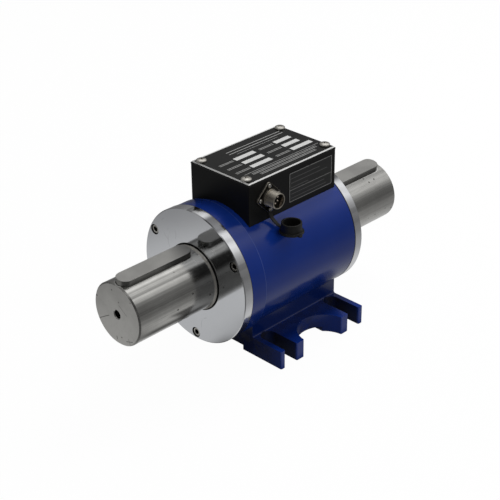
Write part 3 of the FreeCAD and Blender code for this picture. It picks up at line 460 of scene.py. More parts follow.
def polished_aluminium(place):
    x, across, up, radius, angle = about_shaft(place)
    span = abs(x)
    face = abs(place.facing()[0]).step(0.80, 0.95)
    rim = 1 - face
    cloud = place.noise(22, detail=4.0)
    haze = place.noise(140, detail=4.0)
    wave = place.noise(26, 38, 38, detail=1.0)
    around = place.noise(3, 60, 60, detail=4.0, rough=0.65)
    lathe = place.noise(3800, 4, 4, detail=2.0)
    speck = place.spots(120, size=0.075, core=0.045, above=0.74)
    hair = place.spots(40, 14, 160, size=0.055, core=0.02, above=0.6, channel=1)
    rings = sum(ring_mark(across, up, *ring) for ring in FACE_RINGS)
    rings = rings.math("MINIMUM", 1.0) * place.noise(95, detail=2.0).step(0.54, 0.62)
    marks = face * (speck + 0.50 * hair + 0.26 * rings)
    circle = SCREW_CIRCLES["far"] + (SCREW_CIRCLES["near"] - SCREW_CIRCLES["far"]) * (x < 0.0)
    # Painted shade: the bore gap round the shaft and the counterbore walls are painted near black. The
    # dark joint line at the barrel is added to it.
    gap_shade_and_seam = radius.step(BORE_GAP, BORE_GAP - 0.0004)
    for degrees in SCREW_ANGLES:
        off = span_of(across + circle * math.sin(math.radians(degrees)),
                      up - circle * math.cos(math.radians(degrees)))
        counterbore_shade = off.step(COUNTERBORE + 0.0002, COUNTERBORE - 0.0001)
        gap_shade_and_seam = gap_shade_and_seam + counterbore_shade * span.step(FLANGE_FACE - 0.00005, FLANGE_FACE - 0.0003)
    seam = rim * span.step(BARREL_END + 0.0007, BARREL_END + 0.0003) * radius.step(0.060, 0.064)
    gap_shade_and_seam = (gap_shade_and_seam + seam).math("MINIMUM", 1.0)
    # Painted reflection: dark bands along the rims at fixed angles.
    rim_reflections = sum(strength * near_line(angle, degrees, half, 0.5 * half)
                  for degrees, half, strength in RIM_DARK_REFLECTIONS)
    tint = cloud.blend((0.66, 0.675, 0.70), (0.74, 0.755, 0.78))
    tint = (rim * 0.7).blend(tint, (0.88, 0.885, 0.90))
    tint = (rim * rim_reflections).blend(tint, (0.15, 0.152, 0.16))
    tint = (marks.math("MINIMUM", 1.0) * 0.8).blend(tint, (0.12, 0.12, 0.12))
    tint = (gap_shade_and_seam * 0.93).blend(tint, (0.010, 0.009, 0.007))
    rough = (0.075 + 0.06 * haze + 0.10 * marks) * face + rim * (0.08 + 0.14 * around.step(0.35, 0.7))
    from_middle = span - (BARREL_END + FLANGE_FACE) / 2
    crown = 1.6 * from_middle * from_middle
    height = rim * (0.0000018 * lathe + 0.000006 * around + 0.00008 * wave - crown)
    height = height + face * (0.0000016 * haze - 0.000004 * rings + 0.018 * across)
    return {"Base_Color": tint, "Roughness": rough + 0.4 * gap_shade_and_seam, "Height": height}


dress(finish("polished_aluminium", polished_aluminium, edge=0.00015, Metallic=1.0),
      "near_flange", "far_flange")


# Flange screws
# Three M6 socket head screws in each flange, sunk flush in counterbores. The counterbore
# walls and the heads below their tops are painted dark, as shade.

FLANGE_HEAD = 0.0046
FLANGE_SINK = 0.0009
HEX_ACROSS_FLATS = 0.0050


def turn_up(mesh, profile, steps):
    """Spin (radius, height) pairs about Z into a closed shell."""
    points = [mesh.verts.new((radius, 0, height)) for radius, height in profile]
    edges = [mesh.edges.new(pair) for pair in zip(points, points[1:])]
    if profile[0][0] > 0 and profile[-1][0] > 0:
        edges.append(mesh.edges.new((points[-1], points[0])))
    bmesh.ops.spin(mesh, geom=points + edges, cent=(0, 0, 0), axis=(0, 0, 1), dvec=(0, 0, 0),
                   angle=2 * math.pi, steps=steps, use_merge=True, use_duplicate=False)
    bmesh.ops.remove_doubles(mesh, verts=mesh.verts, dist=1e-6)
    bmesh.ops.recalc_face_normals(mesh, faces=mesh.faces)


def round_off(mesh, edges, width, segments):
    """Round some edges."""
    bmesh.ops.bevel(mesh, geom=edges, offset=width, offset_type="OFFSET", affect="EDGES",
                    segments=segments, profile=0.5, material=-1, clamp_overlap=True)


def finished_mesh(mesh, name, crease=40):
    """A smooth shaded mesh from a bmesh, with its sharp edges kept."""
    data = bpy.data.meshes.new(name)
    mesh.to_mesh(data)
    mesh.free()
    for face in data.polygons:
        face.use_smooth = True
    data.set_sharp_from_angle(angle=math.radians(crease))
    return data


def fit(data, name, body, material):
    """Put a finished mesh in the scene as a piece that rides on a body."""
    piece = bpy.data.objects.new(name, data)
    bpy.context.scene.collection.objects.link(piece)
    data.materials.clear()
    data.materials.append(material)
    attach(piece, body)
    return piece


def through_modifiers(data, *recipes):
    """The mesh after modifiers, each given as (kind, settings)."""
    holder = bpy.data.objects.new("worked", data)
    bpy.context.scene.collection.objects.link(holder)
    for kind, settings in recipes:
        modifier = holder.modifiers.new(kind.lower(), kind)
        for key, value in settings.items():
            setattr(modifier, key, value)
    view = bpy.context.evaluated_depsgraph_get()
    worked = bpy.data.meshes.new_from_object(holder.evaluated_get(view))
    bpy.data.objects.remove(holder)
    return worked


def add_form(mesh, form):
    """Move one bmesh into another."""
    carrier = bpy.data.meshes.new("carrier")
    form.to_mesh(carrier)
    form.free()
    mesh.from_mesh(carrier)
    bpy.data.meshes.remove(carrier)


def gathered(places, make):
    """One mesh with a copy of a form at each place, turned to its direction."""
    mesh = bmesh.new()
    for place, out, turn in places:
        form = bmesh.new()
        make(form)
        aim = Vector(out).to_track_quat("Z", "Y").to_matrix().to_4x4()
        pose = Matrix.Translation(place) @ aim @ Matrix.Rotation(math.radians(turn), 4, "Z")
        bmesh.ops.transform(form, matrix=pose, verts=form.verts)
        add_form(mesh, form)
    return mesh


def recessed_screws(name, places, head, recess):
    """Screws with their driver recess cut into the heads."""
    cutters = bpy.data.objects.new("cutters", finished_mesh(gathered(places, recess), "cutters"))
    bpy.context.scene.collection.objects.link(cutters)
    cut = ("BOOLEAN", {"operation": "DIFFERENCE", "solver": "EXACT", "use_self": True,
                       "object": cutters})
    data = through_modifiers(finished_mesh(gathered(places, head), name), cut)
    bpy.data.objects.remove(cutters)
    data.set_sharp_from_angle(angle=math.radians(40))
    return data


def socket_head(mesh):
    """A turned head with its top at z = 0 and a short shank, its top edge rounded."""
    turn_up(mesh, [(0, -0.0070), (0.0030, -0.0070), (0.0030, -0.0047), (FLANGE_HEAD, -0.0047),
                   (FLANGE_HEAD, 0), (0, 0)], steps=64)
    top = [e for e in mesh.edges if all(v.co.z == 0 and v.co.xy.length > 0.004 for v in e.verts)]
    round_off(mesh, top, 0.0006, segments=4)


def hex_recess(mesh):
    """The hexagon for the key, with a cone at its bottom and a small lead in."""
    corner = HEX_ACROSS_FLATS / 2 / math.cos(math.radians(30))
    for low, high, bottom, top in ((-0.0030, 0.0010, corner, corner),
                                   (-0.0036, -0.0030, 0.0004, corner),
                                   (-0.0003, 0.0002, corner, corner + 0.0005)):
        made = bmesh.ops.create_cone(mesh, cap_ends=True, segments=6, radius1=bottom, radius2=top,
                                     depth=high - low)["verts"]
        bmesh.ops.translate(mesh, verts=made, vec=(0, 0, (low + high) / 2))


def oiled_steel(place):
    cloud = place.noise(500, detail=3.0)
    turned = place.noise(1600, detail=2.0)
    tint = cloud.step(0.3, 0.7).blend((0.36, 0.35, 0.32), (0.56, 0.55, 0.51))
    head_top = FLANGE_FACE - FLANGE_SINK
    # Painted shade: below the head's top, in the counterbore and the hex recess, the screw is painted
    # near black.
    deep = abs(place.apart()[0]).step(head_top - 0.0005, head_top - 0.0014)
    return {"Base_Color": (deep * 0.9).blend(tint, (0.020, 0.018, 0.015)),
            "Roughness": 0.20 + 0.14 * cloud + 0.3 * deep, "Height": 0.000006 * turned}


oiled = finish("oiled_steel", oiled_steel, edge=0.0002, Metallic=1.0)
for end, side in (("near", -1), ("far", 1)):
    sockets = []
    for degrees, turn in zip(SCREW_ANGLES, (12, 41, 3)):
        angle = math.radians(degrees)
        sockets.append(((side * (FLANGE_FACE - FLANGE_SINK), -SCREW_CIRCLES[end] * math.sin(angle),
                         AXIS_HEIGHT + SCREW_CIRCLES[end] * math.cos(angle)), (side, 0, 0), turn))
    name = f"{end}_socket_screws"
    screws = fit(recessed_screws(name, sockets, socket_head, hex_recess),
                 name, "case", oiled)
    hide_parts(f"{end}_flange_screws")


# Electronics box
# A machined aluminium box, satin black all over, saddled to the barrel and screwed to it
# from the inside. The rubber seal in its rim and the grommet in its floor stay hidden.

def satin_black(place):
    cloud = place.noise(26, detail=3.0)
    grain = place.noise(1700, detail=2.0)
    tint = cloud.step(0.3, 0.7).blend((0.0040, 0.0040, 0.0039), (0.0062, 0.0062, 0.0059))
    return {"Base_Color": tint, "Roughness": 0.40 + 0.10 * cloud, "Height": 0.000006 * grain}


def seal_rubber(place):
    grain = place.noise(900, detail=3.0)
    return {"Base_Color": grain.blend((0.010, 0.010, 0.010), (0.020, 0.020, 0.020)),
            "Roughness": 0.55 + 0.1 * grain, "Height": 0.00001 * grain}


dress(finish("satin_black", satin_black, edge=0.0005, Specular_IOR_Level=0.2), "box_body")
dress(finish("seal_rubber", seal_rubber), "box_seal", "wire_grommet", "connector_gasket")


# Lid
# A black anodised plate, printed with blank silver fields and plain caption bars. Its bevel
# was cut afterwards, so it is bare bright metal, and the black is rubbed off along the back.

lid_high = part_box("box_lid")[1]
LID_BEVEL = 0.0015
BAR_EDGE = 0.00012
# Bars as x from, x to, y from and y to: the fields, pairs of caption lines, and long rules
LID_FIELDS = [(-0.0186, 0.0086, 0.0067, 0.0126), (-0.0186, 0.0086, -0.0049, 0.0010),
              (-0.0191, 0.0084, -0.0163, -0.0105), (0.0374, 0.0596, 0.0069, 0.0127),
              (0.0376, 0.0596, -0.0046, 0.0013), (0.0376, 0.0662, -0.0163, -0.0104)]
LID_CAPTIONS = [(x0, x1, y + rise, y + rise + 0.0007) for rise in (0.0, 0.0020)
                for x0, x1, y in [(-0.0400, -0.0215, 0.0078), (-0.0400, -0.0215, -0.0038),
                                  (-0.0400, -0.0215, -0.0153), (0.0150, 0.0345, 0.0079),
                                  (0.0150, 0.0345, -0.0037), (0.0150, 0.0345, -0.0153),
                                  (-0.0300, 0.0600, -0.0272), (-0.0240, 0.0540, -0.0322)]]
LID_RULES = [(-0.0140, 0.0620, 0.0215, 0.0224), (-0.0140, 0.0620, 0.0262, 0.0271),
             (-0.0080, 0.0500, 0.0175, 0.0179), (-0.0370, 0.0670, -0.0223, -0.0218)]


def between(value, low, high):
    """One where the value lies between low and high, with a soft edge."""
    return value.step(low - BAR_EDGE, low + BAR_EDGE) * value.step(high + BAR_EDGE, high - BAR_EDGE)


def bars(x, y, places):
    """One inside any of the bars."""
    return sum(between(x, x0, x1) * between(y, y0, y1) for x0, x1, y0, y1 in places)


def anodised_lid(place):
    x, y, z = place.apart()
    high = z > lid_high.z - 0.7 * LID_BEVEL
    bevel = place.facing()[2] < 0.98
    rubbed = y > lid_high.y - LID_BEVEL - 0.0014
    bare = high * bevel.math("MAXIMUM", rubbed)
    cloud = place.noise(30, detail=3.0)
    grain = place.noise(60, 1500, 1500, detail=2.0)
    black_part = cloud.step(0.3, 0.7).blend((0.0045, 0.0045, 0.0043), (0.0070, 0.0070, 0.0067))
    bare_part = grain.blend((0.64, 0.64, 0.63), (0.76, 0.76, 0.75))
    silver = grain.blend((0.50, 0.50, 0.49), (0.60, 0.60, 0.59))
    colour = bare.blend(black_part, bare_part)
    colour = (0.70 * bars(x, y, LID_CAPTIONS + LID_RULES)).blend(colour, (0.48, 0.48, 0.47))
    colour = bars(x, y, LID_FIELDS).blend(colour, silver)
    return {"Base_Color": colour, "Metallic": 0.3 * bare,
            "Roughness": 0.34 + 0.06 * cloud + 0.06 * bare, "Height": 0.000003 * grain}


dress(finish("anodised_lid", anodised_lid, Specular_IOR_Level=0.26), "box_lid")


# Lid screws
# Four nickel plated pan heads with a cross recess, driven through the lid's corners. They
# have been undone before, so each cross stands at its own angle.

LID_SCREW_X = (-0.0434, 0.0674)
LID_SCREW_Y = 0.0308
LID_HEAD = 0.0054
LID_HEAD_HEIGHT = 0.0032


def screw_head(mesh, radius, height, shank, length):
    """A domed head with its underside at z = 0, and its shank below."""
    dome = [(radius * math.sin(angle), height * (0.42 + 0.58 * math.cos(angle)))
            for angle in map(math.radians, (90, 78, 66, 54, 42, 30, 20, 10, 0))]
    rim = [(radius - 0.10 * height, 0), (radius, 0.10 * height)]
    turn_up(mesh, [(0, -length), (shank, -length), (shank, 0), *rim, *dome], steps=64)


def block(mesh, size, middle):
    """Add a box of a size about a middle point, and give its corners."""
    made = bmesh.ops.create_cube(mesh, size=1.0)["verts"]
    bmesh.ops.scale(mesh, verts=made, vec=size)
    bmesh.ops.translate(mesh, verts=made, vec=middle)
    return made


def cross_recess(mesh, radius, height):
    """The tapered cross that a driver fits."""
    for turn in (0, math.pi / 2):
        arm = block(mesh, (1.10 * radius, 0.25 * radius, height), (0, 0, 0.90 * height))
        low = [v for v in arm if v.co.z < 0.9 * height]
        bmesh.ops.scale(mesh, verts=low, vec=(0.55, 0.75, 1))
        bmesh.ops.rotate(mesh, verts=arm, cent=(0, 0, 0), matrix=Matrix.Rotation(turn, 3, "Z"))


def warm_nickel(place):
    cloud = place.noise(420, detail=3.0)
    return {"Base_Color": cloud.step(0.35, 0.65).blend((0.60, 0.575, 0.525), (0.84, 0.815, 0.76)),
            "Roughness": 0.19 + 0.16 * cloud, "Height": 0.000008 * place.noise(1500)}


def lid_head(mesh):
    screw_head(mesh, LID_HEAD, LID_HEAD_HEIGHT, shank=0.0024, length=0.0110)


def lid_recess(mesh):
    cross_recess(mesh, LID_HEAD, LID_HEAD_HEIGHT)


warm = finish("warm_nickel", warm_nickel, edge=0.00015, Metallic=1.0)
holes = [(x, y, lid_high.z) for x in LID_SCREW_X for y in (-LID_SCREW_Y, LID_SCREW_Y)]
driven = [(hole, (0, 0, 1), turn) for hole, turn in zip(holes, (20, 62, 35, 5))]
lid_screws = fit(recessed_screws("lid_screws_driven", driven, lid_head, lid_recess),
                 "lid_screws_driven", "case", warm)
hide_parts("lid_screws")


# Side plate
# A thin black plate bonded to the box's front, a little greyer than the box. A plain ruled
# frame with a divider and a few fine lines are engraved in it.

SIDE_X = (0.0060, 0.0680)
SIDE_Z = (0.1493, 0.1806)
SIDE_THICKNESS = 0.00025
SIDE_BORDER = 0.0006
BOX_FRONT = -0.0400
# The fine lines: height, x from and x to
SIDE_LINES = ((0.1742, 0.0085, 0.0500), (0.1695, 0.0085, 0.0610), (0.1648, 0.0085, 0.0330),
              (0.1578, 0.0085, 0.0570), (0.1534, 0.0085, 0.0600))


def ruled_plate(place):
    x, _, z = place.apart()
    x0, x1 = SIDE_X[0] + SIDE_BORDER, SIDE_X[1] - SIDE_BORDER
    z0, z1 = SIDE_Z[0] + SIDE_BORDER, SIDE_Z[1] - SIDE_BORDER
    inside = bars(x, z, [(x0 - 0.00035, x1 + 0.00035, z0 - 0.00035, z1 + 0.00035)])
    hollow = bars(x, z, [(x0 + 0.00025, x1 - 0.00025, z0 + 0.00025, z1 - 0.00025)])
    divider = bars(x, z, [(x0, x1, 0.16175, 0.16225)])
    lines = bars(x, z, [(start, end, height - 0.00022, height + 0.00022)
                        for height, start, end in SIDE_LINES])
    cut = (inside - hollow + divider + 0.5 * lines).math("MINIMUM", 1.0)
    cloud = place.noise(40, detail=3.0)
    ground = cloud.step(0.3, 0.7).blend((0.0090, 0.0092, 0.0091), (0.0125, 0.0127, 0.0125))
    return {"Base_Color": cut.blend(ground, (0.21, 0.21, 0.205)),
            "Roughness": 0.42 + 0.12 * cloud,
            "Height": -0.00003 * cut + 0.000004 * place.noise(1400)}


plate = bmesh.new()
block(plate, (SIDE_X[1] - SIDE_X[0], SIDE_THICKNESS, SIDE_Z[1] - SIDE_Z[0]),
      (sum(SIDE_X) / 2, BOX_FRONT - SIDE_THICKNESS / 2, sum(SIDE_Z) / 2))
plate_corners = [e for e in plate.edges if abs(e.verts[0].co.y - e.verts[1].co.y) > 1e-5]
round_off(plate, plate_corners, 0.0006, segments=4)
fit(finished_mesh(plate, "side_plate"), "side_plate", "case",
    finish("ruled_plate", ruled_plate))


# Signal connector
# A nickel plated shell turned with a fine thread on a square flange, and its contacts in a
# black moulded insert. Four small screws hold it through a rubber gasket. The flange's
# front face is painted dark as a reflection, and the contacts are painted dark behind their
# tips as shade in the insert.

CONNECTOR = Vector((-0.0245, 0, 0.1673))
SEAT = -0.0406
FACE = -0.0426
MOUTH = -0.0556
SHELL = 0.00825
BORE = 0.0069
REAR_BORE = 0.0053
FLANGE_SQUARE = 0.024
THREADS = 11
THREAD_PITCH = 0.00078
THREAD_DEPTH = 0.00018
SMALL_CIRCLE = 0.0122
SMALL_HEAD = 0.0021
SMALL_HEAD_HEIGHT = 0.0015
shell_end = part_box("connector_shell")[1].y
pin_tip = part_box("connector_pins")[0].y


def dull_nickel(place):
    y = place.apart()[1]
    cloud = place.noise(120, detail=2.0)
    # Painted reflection: the flange's flat front face is painted dark.
    face_dark_reflection = (place.facing()[1] < -0.97) * (y > FACE - 0.0003) * (y < FACE + 0.0004)
    bright = cloud.step(0.3, 0.7).blend((0.46, 0.425, 0.365), (0.55, 0.51, 0.44))
    return {"Base_Color": face_dark_reflection.blend(bright, (0.030, 0.028, 0.023)),
            "Roughness": 0.24 + 0.10 * cloud + 0.08 * face_dark_reflection,
            "Height": 0.000002 * place.noise(1800)}


def moulded_black(place):
    cloud = place.noise(500, detail=2.0)
    return {"Base_Color": cloud.blend((0.0030, 0.0030, 0.0028), (0.0060, 0.0059, 0.0056)),
            "Roughness": 0.36 + 0.12 * cloud, "Height": 0.000006 * place.noise(2200)}


def contact_metal(place):
    cloud = place.noise(800, detail=2.0)
    # Painted shade: the contacts are painted dark behind their tips, inside the insert.
    unshaded_tip = place.apart()[1].step(pin_tip + 0.0016, pin_tip + 0.0008)
    metal = cloud.blend((0.80, 0.68, 0.58), (0.88, 0.78, 0.68))
    return {"Base_Color": unshaded_tip.blend((0.030, 0.022, 0.018), metal),
            "Roughness": 0.30 + 0.14 * cloud, "Height": 0.000003 * place.noise(3000)}


def small_head(mesh):
    screw_head(mesh, SMALL_HEAD, SMALL_HEAD_HEIGHT, shank=0.00095, length=0.0050)


def small_recess(mesh):
    cross_recess(mesh, SMALL_HEAD, SMALL_HEAD_HEIGHT)


barrel = bmesh.new()
ridges = []
for i in range(THREADS):
    out = -FACE + 0.0033 + THREAD_PITCH * i
    ridges += [(SHELL, out), (SHELL, out + 0.00016), (SHELL - THREAD_DEPTH, out + 0.00034),
               (SHELL - THREAD_DEPTH, out + 0.00044), (SHELL, out + 0.00062)]
turn_up(barrel, [(REAR_BORE, -shell_end), (0.0074, -shell_end), (0.0074, -SEAT), (0.0089, -SEAT),
                 (0.0089, -FACE + 0.0018), (0.0087, -FACE + 0.0020), (0.0080, -FACE + 0.0021),
                 (0.0080, -FACE + 0.0030), *ridges, (SHELL, -MOUTH - 0.00045),
                 (SHELL - 0.00045, -MOUTH), (BORE + 0.0002, -MOUTH), (BORE, -MOUTH - 0.0002),
                 (BORE, -FACE - 0.0006), (REAR_BORE, -FACE - 0.0006)], steps=96)
aim = Matrix.Translation((CONNECTOR.x, 0, CONNECTOR.z)) @ Matrix.Rotation(math.radians(90), 4, "X")
bmesh.ops.transform(barrel, matrix=aim, verts=barrel.verts)
square = block(barrel, (FLANGE_SQUARE, SEAT - FACE, FLANGE_SQUARE), (0, 0, 0))
bmesh.ops.rotate(barrel, verts=square, cent=(0, 0, 0), matrix=Matrix.Rotation(math.radians(45), 3, "Y"))
bmesh.ops.translate(barrel, verts=square, vec=(CONNECTOR.x, (SEAT + FACE) / 2, CONNECTOR.z))
square_corners = [e for e in barrel.edges if all(v in square for v in e.verts)
                  and abs(e.verts[0].co.y - e.verts[1].co.y) > 1e-4]
round_off(barrel, square_corners, 0.0030, segments=8)
rim = [e for e in barrel.edges if e.is_manifold and e.calc_face_angle() > math.radians(60)
       and all(abs(v.co.y - FACE) < 1e-6 for v in e.verts)
       and all(math.hypot(v.co.x - CONNECTOR.x, v.co.z - CONNECTOR.z) > 0.0105 for v in e.verts)]
round_off(barrel, rim, 0.0003, segments=2)
shell = fit(finished_mesh(barrel, "threaded_shell", 30), "threaded_shell", "case",
            finish("dull_nickel", dull_nickel, edge=0.00012, Metallic=1.0))
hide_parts("connector_shell")

dress(finish("moulded_black", moulded_black), "connector_insert")
dress(finish("contact_metal", contact_metal, Metallic=0.4), "connector_pins")
small_screws = []
for degrees, turn in ((0, 25), (90, 70), (180, 40), (270, 10)):
    angle = math.radians(degrees)
    eyelet_under_head = 0.0013 if degrees == 180 else 0.0
    small_screws.append(((CONNECTOR.x + SMALL_CIRCLE * math.sin(angle), FACE - eyelet_under_head,
                          CONNECTOR.z + SMALL_CIRCLE * math.cos(angle)), (0, -1, 0), turn))
small = fit(recessed_screws("connector_screws_driven", small_screws, small_head, small_recess),
            "connector_screws_driven", "case", warm)
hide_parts("connector_screws")


# Dust cap
# Cap, strap and eyelet in one soft black moulding. The connector's lowest screw holds the
# eyelet, and the cap lies with its mouth up on the barrel.

CAP = Vector((-0.0150, -0.0630, 0.133615))
CAP_WALL = 0.0103
CAP_BORE = 0.0084
CAP_HEIGHT = 0.0110
BRIM = 0.01235
BRIM_HEIGHT = 0.0018
TAB_TURN = -97
STRAP_PLANE = -0.04325
STRAP_HALF_WIDTH = 0.0023
STRAP_HALF_THICKNESS = 0.00045
STRAP_RINGS = 25
EYELET_Z = 0.1551
EYELET_HOLE = 0.0015
EYELET = 0.0029


def cap_rubber(place):
    x, y, _ = place.apart()
    grain = place.noise(700, detail=3.0)
    cloud = place.noise(90, detail=3.0)
    # Painted shade: the inside of the cup is painted near black.
    inside = span_of(x - CAP.x, y - CAP.y).step(CAP_BORE + 0.0004, CAP_BORE)
    colour = cloud.blend((0.0030, 0.0030, 0.0028), (0.0058, 0.0057, 0.0052))
    return {"Base_Color": (0.9 * inside).blend(colour, (0.0006, 0.0006, 0.0006)),
            "Roughness": 0.42 + 0.12 * cloud + 0.4 * inside, "Height": 0.000014 * grain}


cup = bmesh.new()
turn_up(cup, [(0, 0), (BRIM, 0), (BRIM, BRIM_HEIGHT), (CAP_WALL, BRIM_HEIGHT),
              (CAP_WALL, CAP_HEIGHT), (CAP_BORE, CAP_HEIGHT), (CAP_BORE, 0.0020), (0, 0.0020)],
        steps=96)
sharp = [e for e in cup.edges if e.is_manifold and e.calc_face_angle() > math.radians(35)]
round_off(cup, sharp, 0.00045, segments=3)
bmesh.ops.translate(cup, verts=cup.verts, vec=CAP)
tab = bmesh.ops.create_cone(cup, cap_ends=True, segments=32, radius1=0.0025, radius2=0.0025,
                            depth=BRIM_HEIGHT)["verts"]
tab_angle = math.radians(TAB_TURN)
bmesh.ops.translate(cup, verts=tab, vec=(CAP.x + BRIM * math.cos(tab_angle),
                                         CAP.y + BRIM * math.sin(tab_angle), CAP.z + 0.0009))
eyelet = bmesh.new()
turn_up(eyelet, [(EYELET_HOLE, -STRAP_HALF_THICKNESS), (EYELET, -STRAP_HALF_THICKNESS),
                 (EYELET, STRAP_HALF_THICKNESS), (EYELET_HOLE, STRAP_HALF_THICKNESS)], steps=48)
eyelet_place = Matrix.Translation((CONNECTOR.x, STRAP_PLANE, EYELET_Z))
bmesh.ops.transform(eyelet, matrix=eyelet_place @ Matrix.Rotation(math.radians(90), 4, "X"),
                    verts=eyelet.verts)
add_form(cup, eyelet)

# The strap hangs from the eyelet, then bends out to the brim and lies flat on it. Its bends
# are given as the distance out from the eyelet and the height.
below_eyelet = Vector((CONNECTOR.x, STRAP_PLANE, 0))
to_cap = Vector((CAP.x, CAP.y, 0)) - below_eyelet
outward = to_cap.normalized()
reach = to_cap.length - CAP_WALL + 0.0009
seat_z = CAP.z + 0.0027
start_z = EYELET_Z - 0.00145 - 0.0006
bends = [Vector((0, start_z)), Vector((0, start_z - 0.45 * (start_z - seat_z))),
         Vector((0.63 * reach, seat_z + 0.18 * (start_z - seat_z))), Vector((reach, seat_z))]
before = None
for i in range(STRAP_RINGS):
    done = i / (STRAP_RINGS - 1)
    left = 1 - done
    weights = (left ** 3, 3 * left ** 2 * done, 3 * left * done ** 2, done ** 3)
    slopes = (-3 * left ** 2, 3 * left ** 2 - 6 * left * done, 6 * left * done - 3 * done ** 2,
              3 * done ** 2)
    here = sum((weight * bend for weight, bend in zip(weights, bends)), Vector((0, 0)))
    going = sum((slope * bend for slope, bend in zip(slopes, bends)), Vector((0, 0)))
    heading = (outward * going.x + Vector((0, 0, going.y))).normalized()
    ease = done * done * (3 - 2 * done)
    across = Vector((1, 0, 0)) * (1 - ease) + Vector((0, 0, 1)).cross(outward) * ease
    across = (across - heading * across.dot(heading)).normalized()
    thick = heading.cross(across)
    middle = below_eyelet + outward * here.x + Vector((0, 0, here.y))
    ring = [cup.verts.new(middle + across * wide * STRAP_HALF_WIDTH
                          + thick * deep * STRAP_HALF_THICKNESS)
            for wide, deep in ((-1, -1), (1, -1), (1, 1), (-1, 1))]
    loop = [cup.edges.new((ring[k], ring[(k + 1) % 4])) for k in range(4)]
    if before:
        bmesh.ops.bridge_loops(cup, edges=before + loop)
    else:
        first = loop
    before = loop
bmesh.ops.edgeloop_fill(cup, edges=first)
bmesh.ops.edgeloop_fill(cup, edges=before)
bmesh.ops.recalc_face_normals(cup, faces=cup.faces)
soft = through_modifiers(finished_mesh(cup, "cap_form"),
                         ("REMESH", {"mode": "VOXEL", "voxel_size": 0.00027, "use_smooth_shade": True}),
                         ("SMOOTH", {"factor": 0.5, "iterations": 4}))
cap = fit(soft, "dust_cap_moulding", "cap", finish("cap_rubber", cap_rubber))
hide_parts("dust_cap")


# Studio
# A floor and a room round it that glow, so that they look white to the camera. Two large soft
# lamps light the object, and its metal mirrors darker and lighter patches of the room. In
# the floor's glow that the metal mirrors, a pool of light and shadows are painted.

FLOOR_HALF = 4.0
FLOOR_DROP = 0.0003
WHITE = (1.0, 1.0, 1.0)
# Brightness of the sky against how far it lies towards the overhead lamp
SKY_RISE = ((0.27, 0.15), (0.43, 0.18), (0.54, 0.22), (0.65, 0.33), (0.71, 0.41), (0.75, 0.52),
            (0.83, 0.70), (0.95, 0.92), (1.00, 1.00))
# Brightness of its bands from the front, at 0, to the back, at 1
SKY_BANDS = ((0.17, 0.50), (0.21, 0.60), (0.26, 0.67), (0.317, 0.33), (0.38, 0.45), (0.447, 0.42),
             (0.500, 0.62), (0.525, 0.62), (0.58, 0.50))


def softbox(name, place, target, width, height, watts):
    """A rectangular lamp that points at the target and leaves no shape in the metal."""
    lamp = bpy.data.lights.new(name, "AREA")
    lamp.shape = "RECTANGLE"
    lamp.size = width
    lamp.size_y = height
    lamp.energy = watts
    holder = bpy.data.objects.new(name, lamp)
    aim = (Vector(target) - Vector(place)).to_track_quat("-Z", "Y").to_matrix().to_4x4()
    holder.matrix_world = Matrix.Translation(place) @ aim
    holder.visible_glossy = False
    bpy.context.scene.collection.objects.link(holder)


floor_form = bmesh.new()
bmesh.ops.create_grid(floor_form, x_segments=1, y_segments=1, size=FLOOR_HALF)
bmesh.ops.translate(floor_form, verts=floor_form.verts, vec=(0, 0, -FLOOR_DROP))
floor_mesh = bpy.data.meshes.new("floor")
floor_form.to_mesh(floor_mesh)
floor_form.free()
floor = bpy.data.objects.new("floor", floor_mesh)
bpy.context.scene.collection.objects.link(floor)

floor_paper = bpy.data.materials.new("floor_paper")
floor_paper.use_nodes = True
floor_paper.node_tree.nodes.clear()
sheet = Wire(floor_paper.node_tree)
seen = sheet.node("ShaderNodeLightPath", output="Is Camera Ray")
mirrored = sheet.node("ShaderNodeLightPath", output="Is Glossy Ray")
through = sheet.node("ShaderNodeLightPath", output="Is Transmission Ray")
x, y, _ = sheet.node("ShaderNodeTexCoord", output="Object").apart()
# Painted light and shade in the floor's glow that metal mirrors: a lighter pool round the object, and
# painted shadows to the left front, under the foot and under the shaft.
light_pool = span_of((x + 0.03) / 0.30, (y - 0.06) / 0.16)
left_front = x.step(-0.09, -0.17) * y.step(0.03, -0.06)
under_foot = abs(x - FOOT_MIDDLE).step(0.100, 0.086) * abs(y).step(0.091, 0.082)
under_shaft = (x.step(-0.150, -0.115) * x.step(0.00, -0.03)
               * y.step(0.010, -0.015) * y.step(-0.050, -0.028))
shade = (1 - 0.85 * left_front) * (1 - 0.85 * under_foot) * (1 - 0.8 * under_shaft)
in_metal = (0.08 + 0.20 * light_pool.step(1.45, 0.85) + 0.15 * light_pool.step(3.0, 1.0)) * shade
share = 0.80 * seen + 0.80 * through + in_metal * mirrored
paper = sheet.node("ShaderNodeBsdfDiffuse", (0.09, 0.09, 0.09))
glow = sheet.node("ShaderNodeEmission", WHITE, 1.22)
sheet.node("ShaderNodeOutputMaterial", sheet.node("ShaderNodeMixShader", share, paper, glow))
floor_mesh.materials.append(floor_paper)

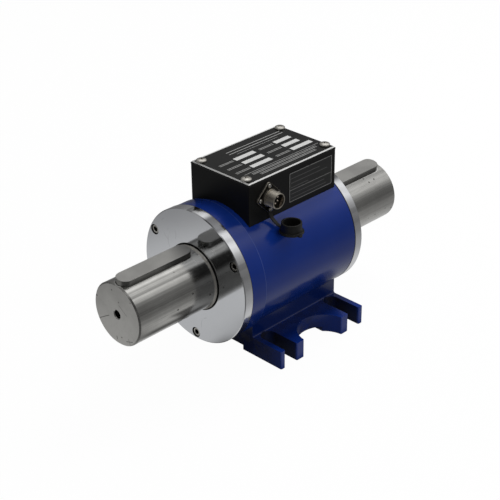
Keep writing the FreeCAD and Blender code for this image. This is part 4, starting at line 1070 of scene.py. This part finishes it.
world = bpy.data.worlds.new("studio")
bpy.context.scene.world = world
world.use_nodes = True
world.node_tree.nodes.clear()
room = Wire(world.node_tree)
room_seen = room.node("ShaderNodeLightPath", output="Is Camera Ray")
room_through = room.node("ShaderNodeLightPath", output="Is Transmission Ray")
toward = room.node("ShaderNodeTexCoord", output="Generated")
east, north, high = toward.apart()
rise = room.node("ShaderNodeValToRGB", toward.dot((0.45, 0.0, 0.893)), stops=SKY_RISE)
bands = room.node("ShaderNodeValToRGB", north * 0.5 + 0.5, stops=SKY_BANDS)
hollow = east.step(-0.35, -0.50) * north.step(-0.30, -0.40) * high.step(0.10, 0.40)
behind = toward.dot((-0.62, 0.62, 0.48)).step(0.90, 0.97)
far_end = east.step(0.62, 0.67)
far_dark = far_end * north.step(-0.20, -0.10)
far_light = far_end * north.step(-0.45, -0.36) * north.step(-0.18, -0.26) * (high > 0.0)
flag = east.step(-0.600, -0.615) * east.step(-0.66, -0.64)
slant = (north + 1.28 * (east + 0.62)).step(-0.34, -0.20)
left_lamp = toward.dot((-0.732, -0.246, 0.635)).step(0.90, 0.955) * slant * (1 - 0.6 * flag)
sky = rise * bands * 2.0 * (1 - 0.9 * hollow) + 0.12 * behind
sky = sky * (1 - 0.36 * far_dark) + 0.22 * far_light + 0.75 * left_lamp
backdrop = (room_seen + room_through).math("MINIMUM", 1.0).blend(sky, WHITE)
room.node("ShaderNodeOutputWorld", room.node("ShaderNodeBackground", backdrop, 1.0))

softbox("overhead_softbox", (0.82, 0.18, 1.18), (0.0, 0.0, 0.08), 0.7, 0.7, 13.2)
softbox("front_softbox", (-0.37, -1.35, 0.58), (0.0, 0.0, 0.08), 0.9, 0.6, 9.3)


# Camera
# A long lens to the front left and above, as in the photograph. Its place and turn were
# fitted to the edges of the shaft, the flanges, the box and the foot.

SENSOR = 36.0
FOCAL_PIXELS = 1252.3
PICTURE_PIXELS = 500.0
CAMERA_RIGHT = Vector((0.703296, -0.710812, -0.010988))
CAMERA_UP = Vector((0.348651, 0.331412, 0.876703))
CAMERA_BACK = Vector((-0.619529, -0.620413, 0.480907))
CAMERA_PLACE = Vector((-0.79504, -0.78726, 0.60888 + AXIS_HEIGHT))

camera_data = bpy.data.cameras.new("camera")
camera_data.sensor_width = SENSOR
camera_data.lens = SENSOR * FOCAL_PIXELS / PICTURE_PIXELS
camera_data.clip_end = 20.0
camera = bpy.data.objects.new("camera", camera_data)
camera_turn = Matrix((CAMERA_RIGHT, CAMERA_UP, CAMERA_BACK)).transposed().to_4x4()
camera.matrix_world = Matrix.Translation(CAMERA_PLACE) @ camera_turn
bpy.context.scene.collection.objects.link(camera)
bpy.context.scene.camera = camera
bpy.context.scene.view_settings.view_transform = "Standard"
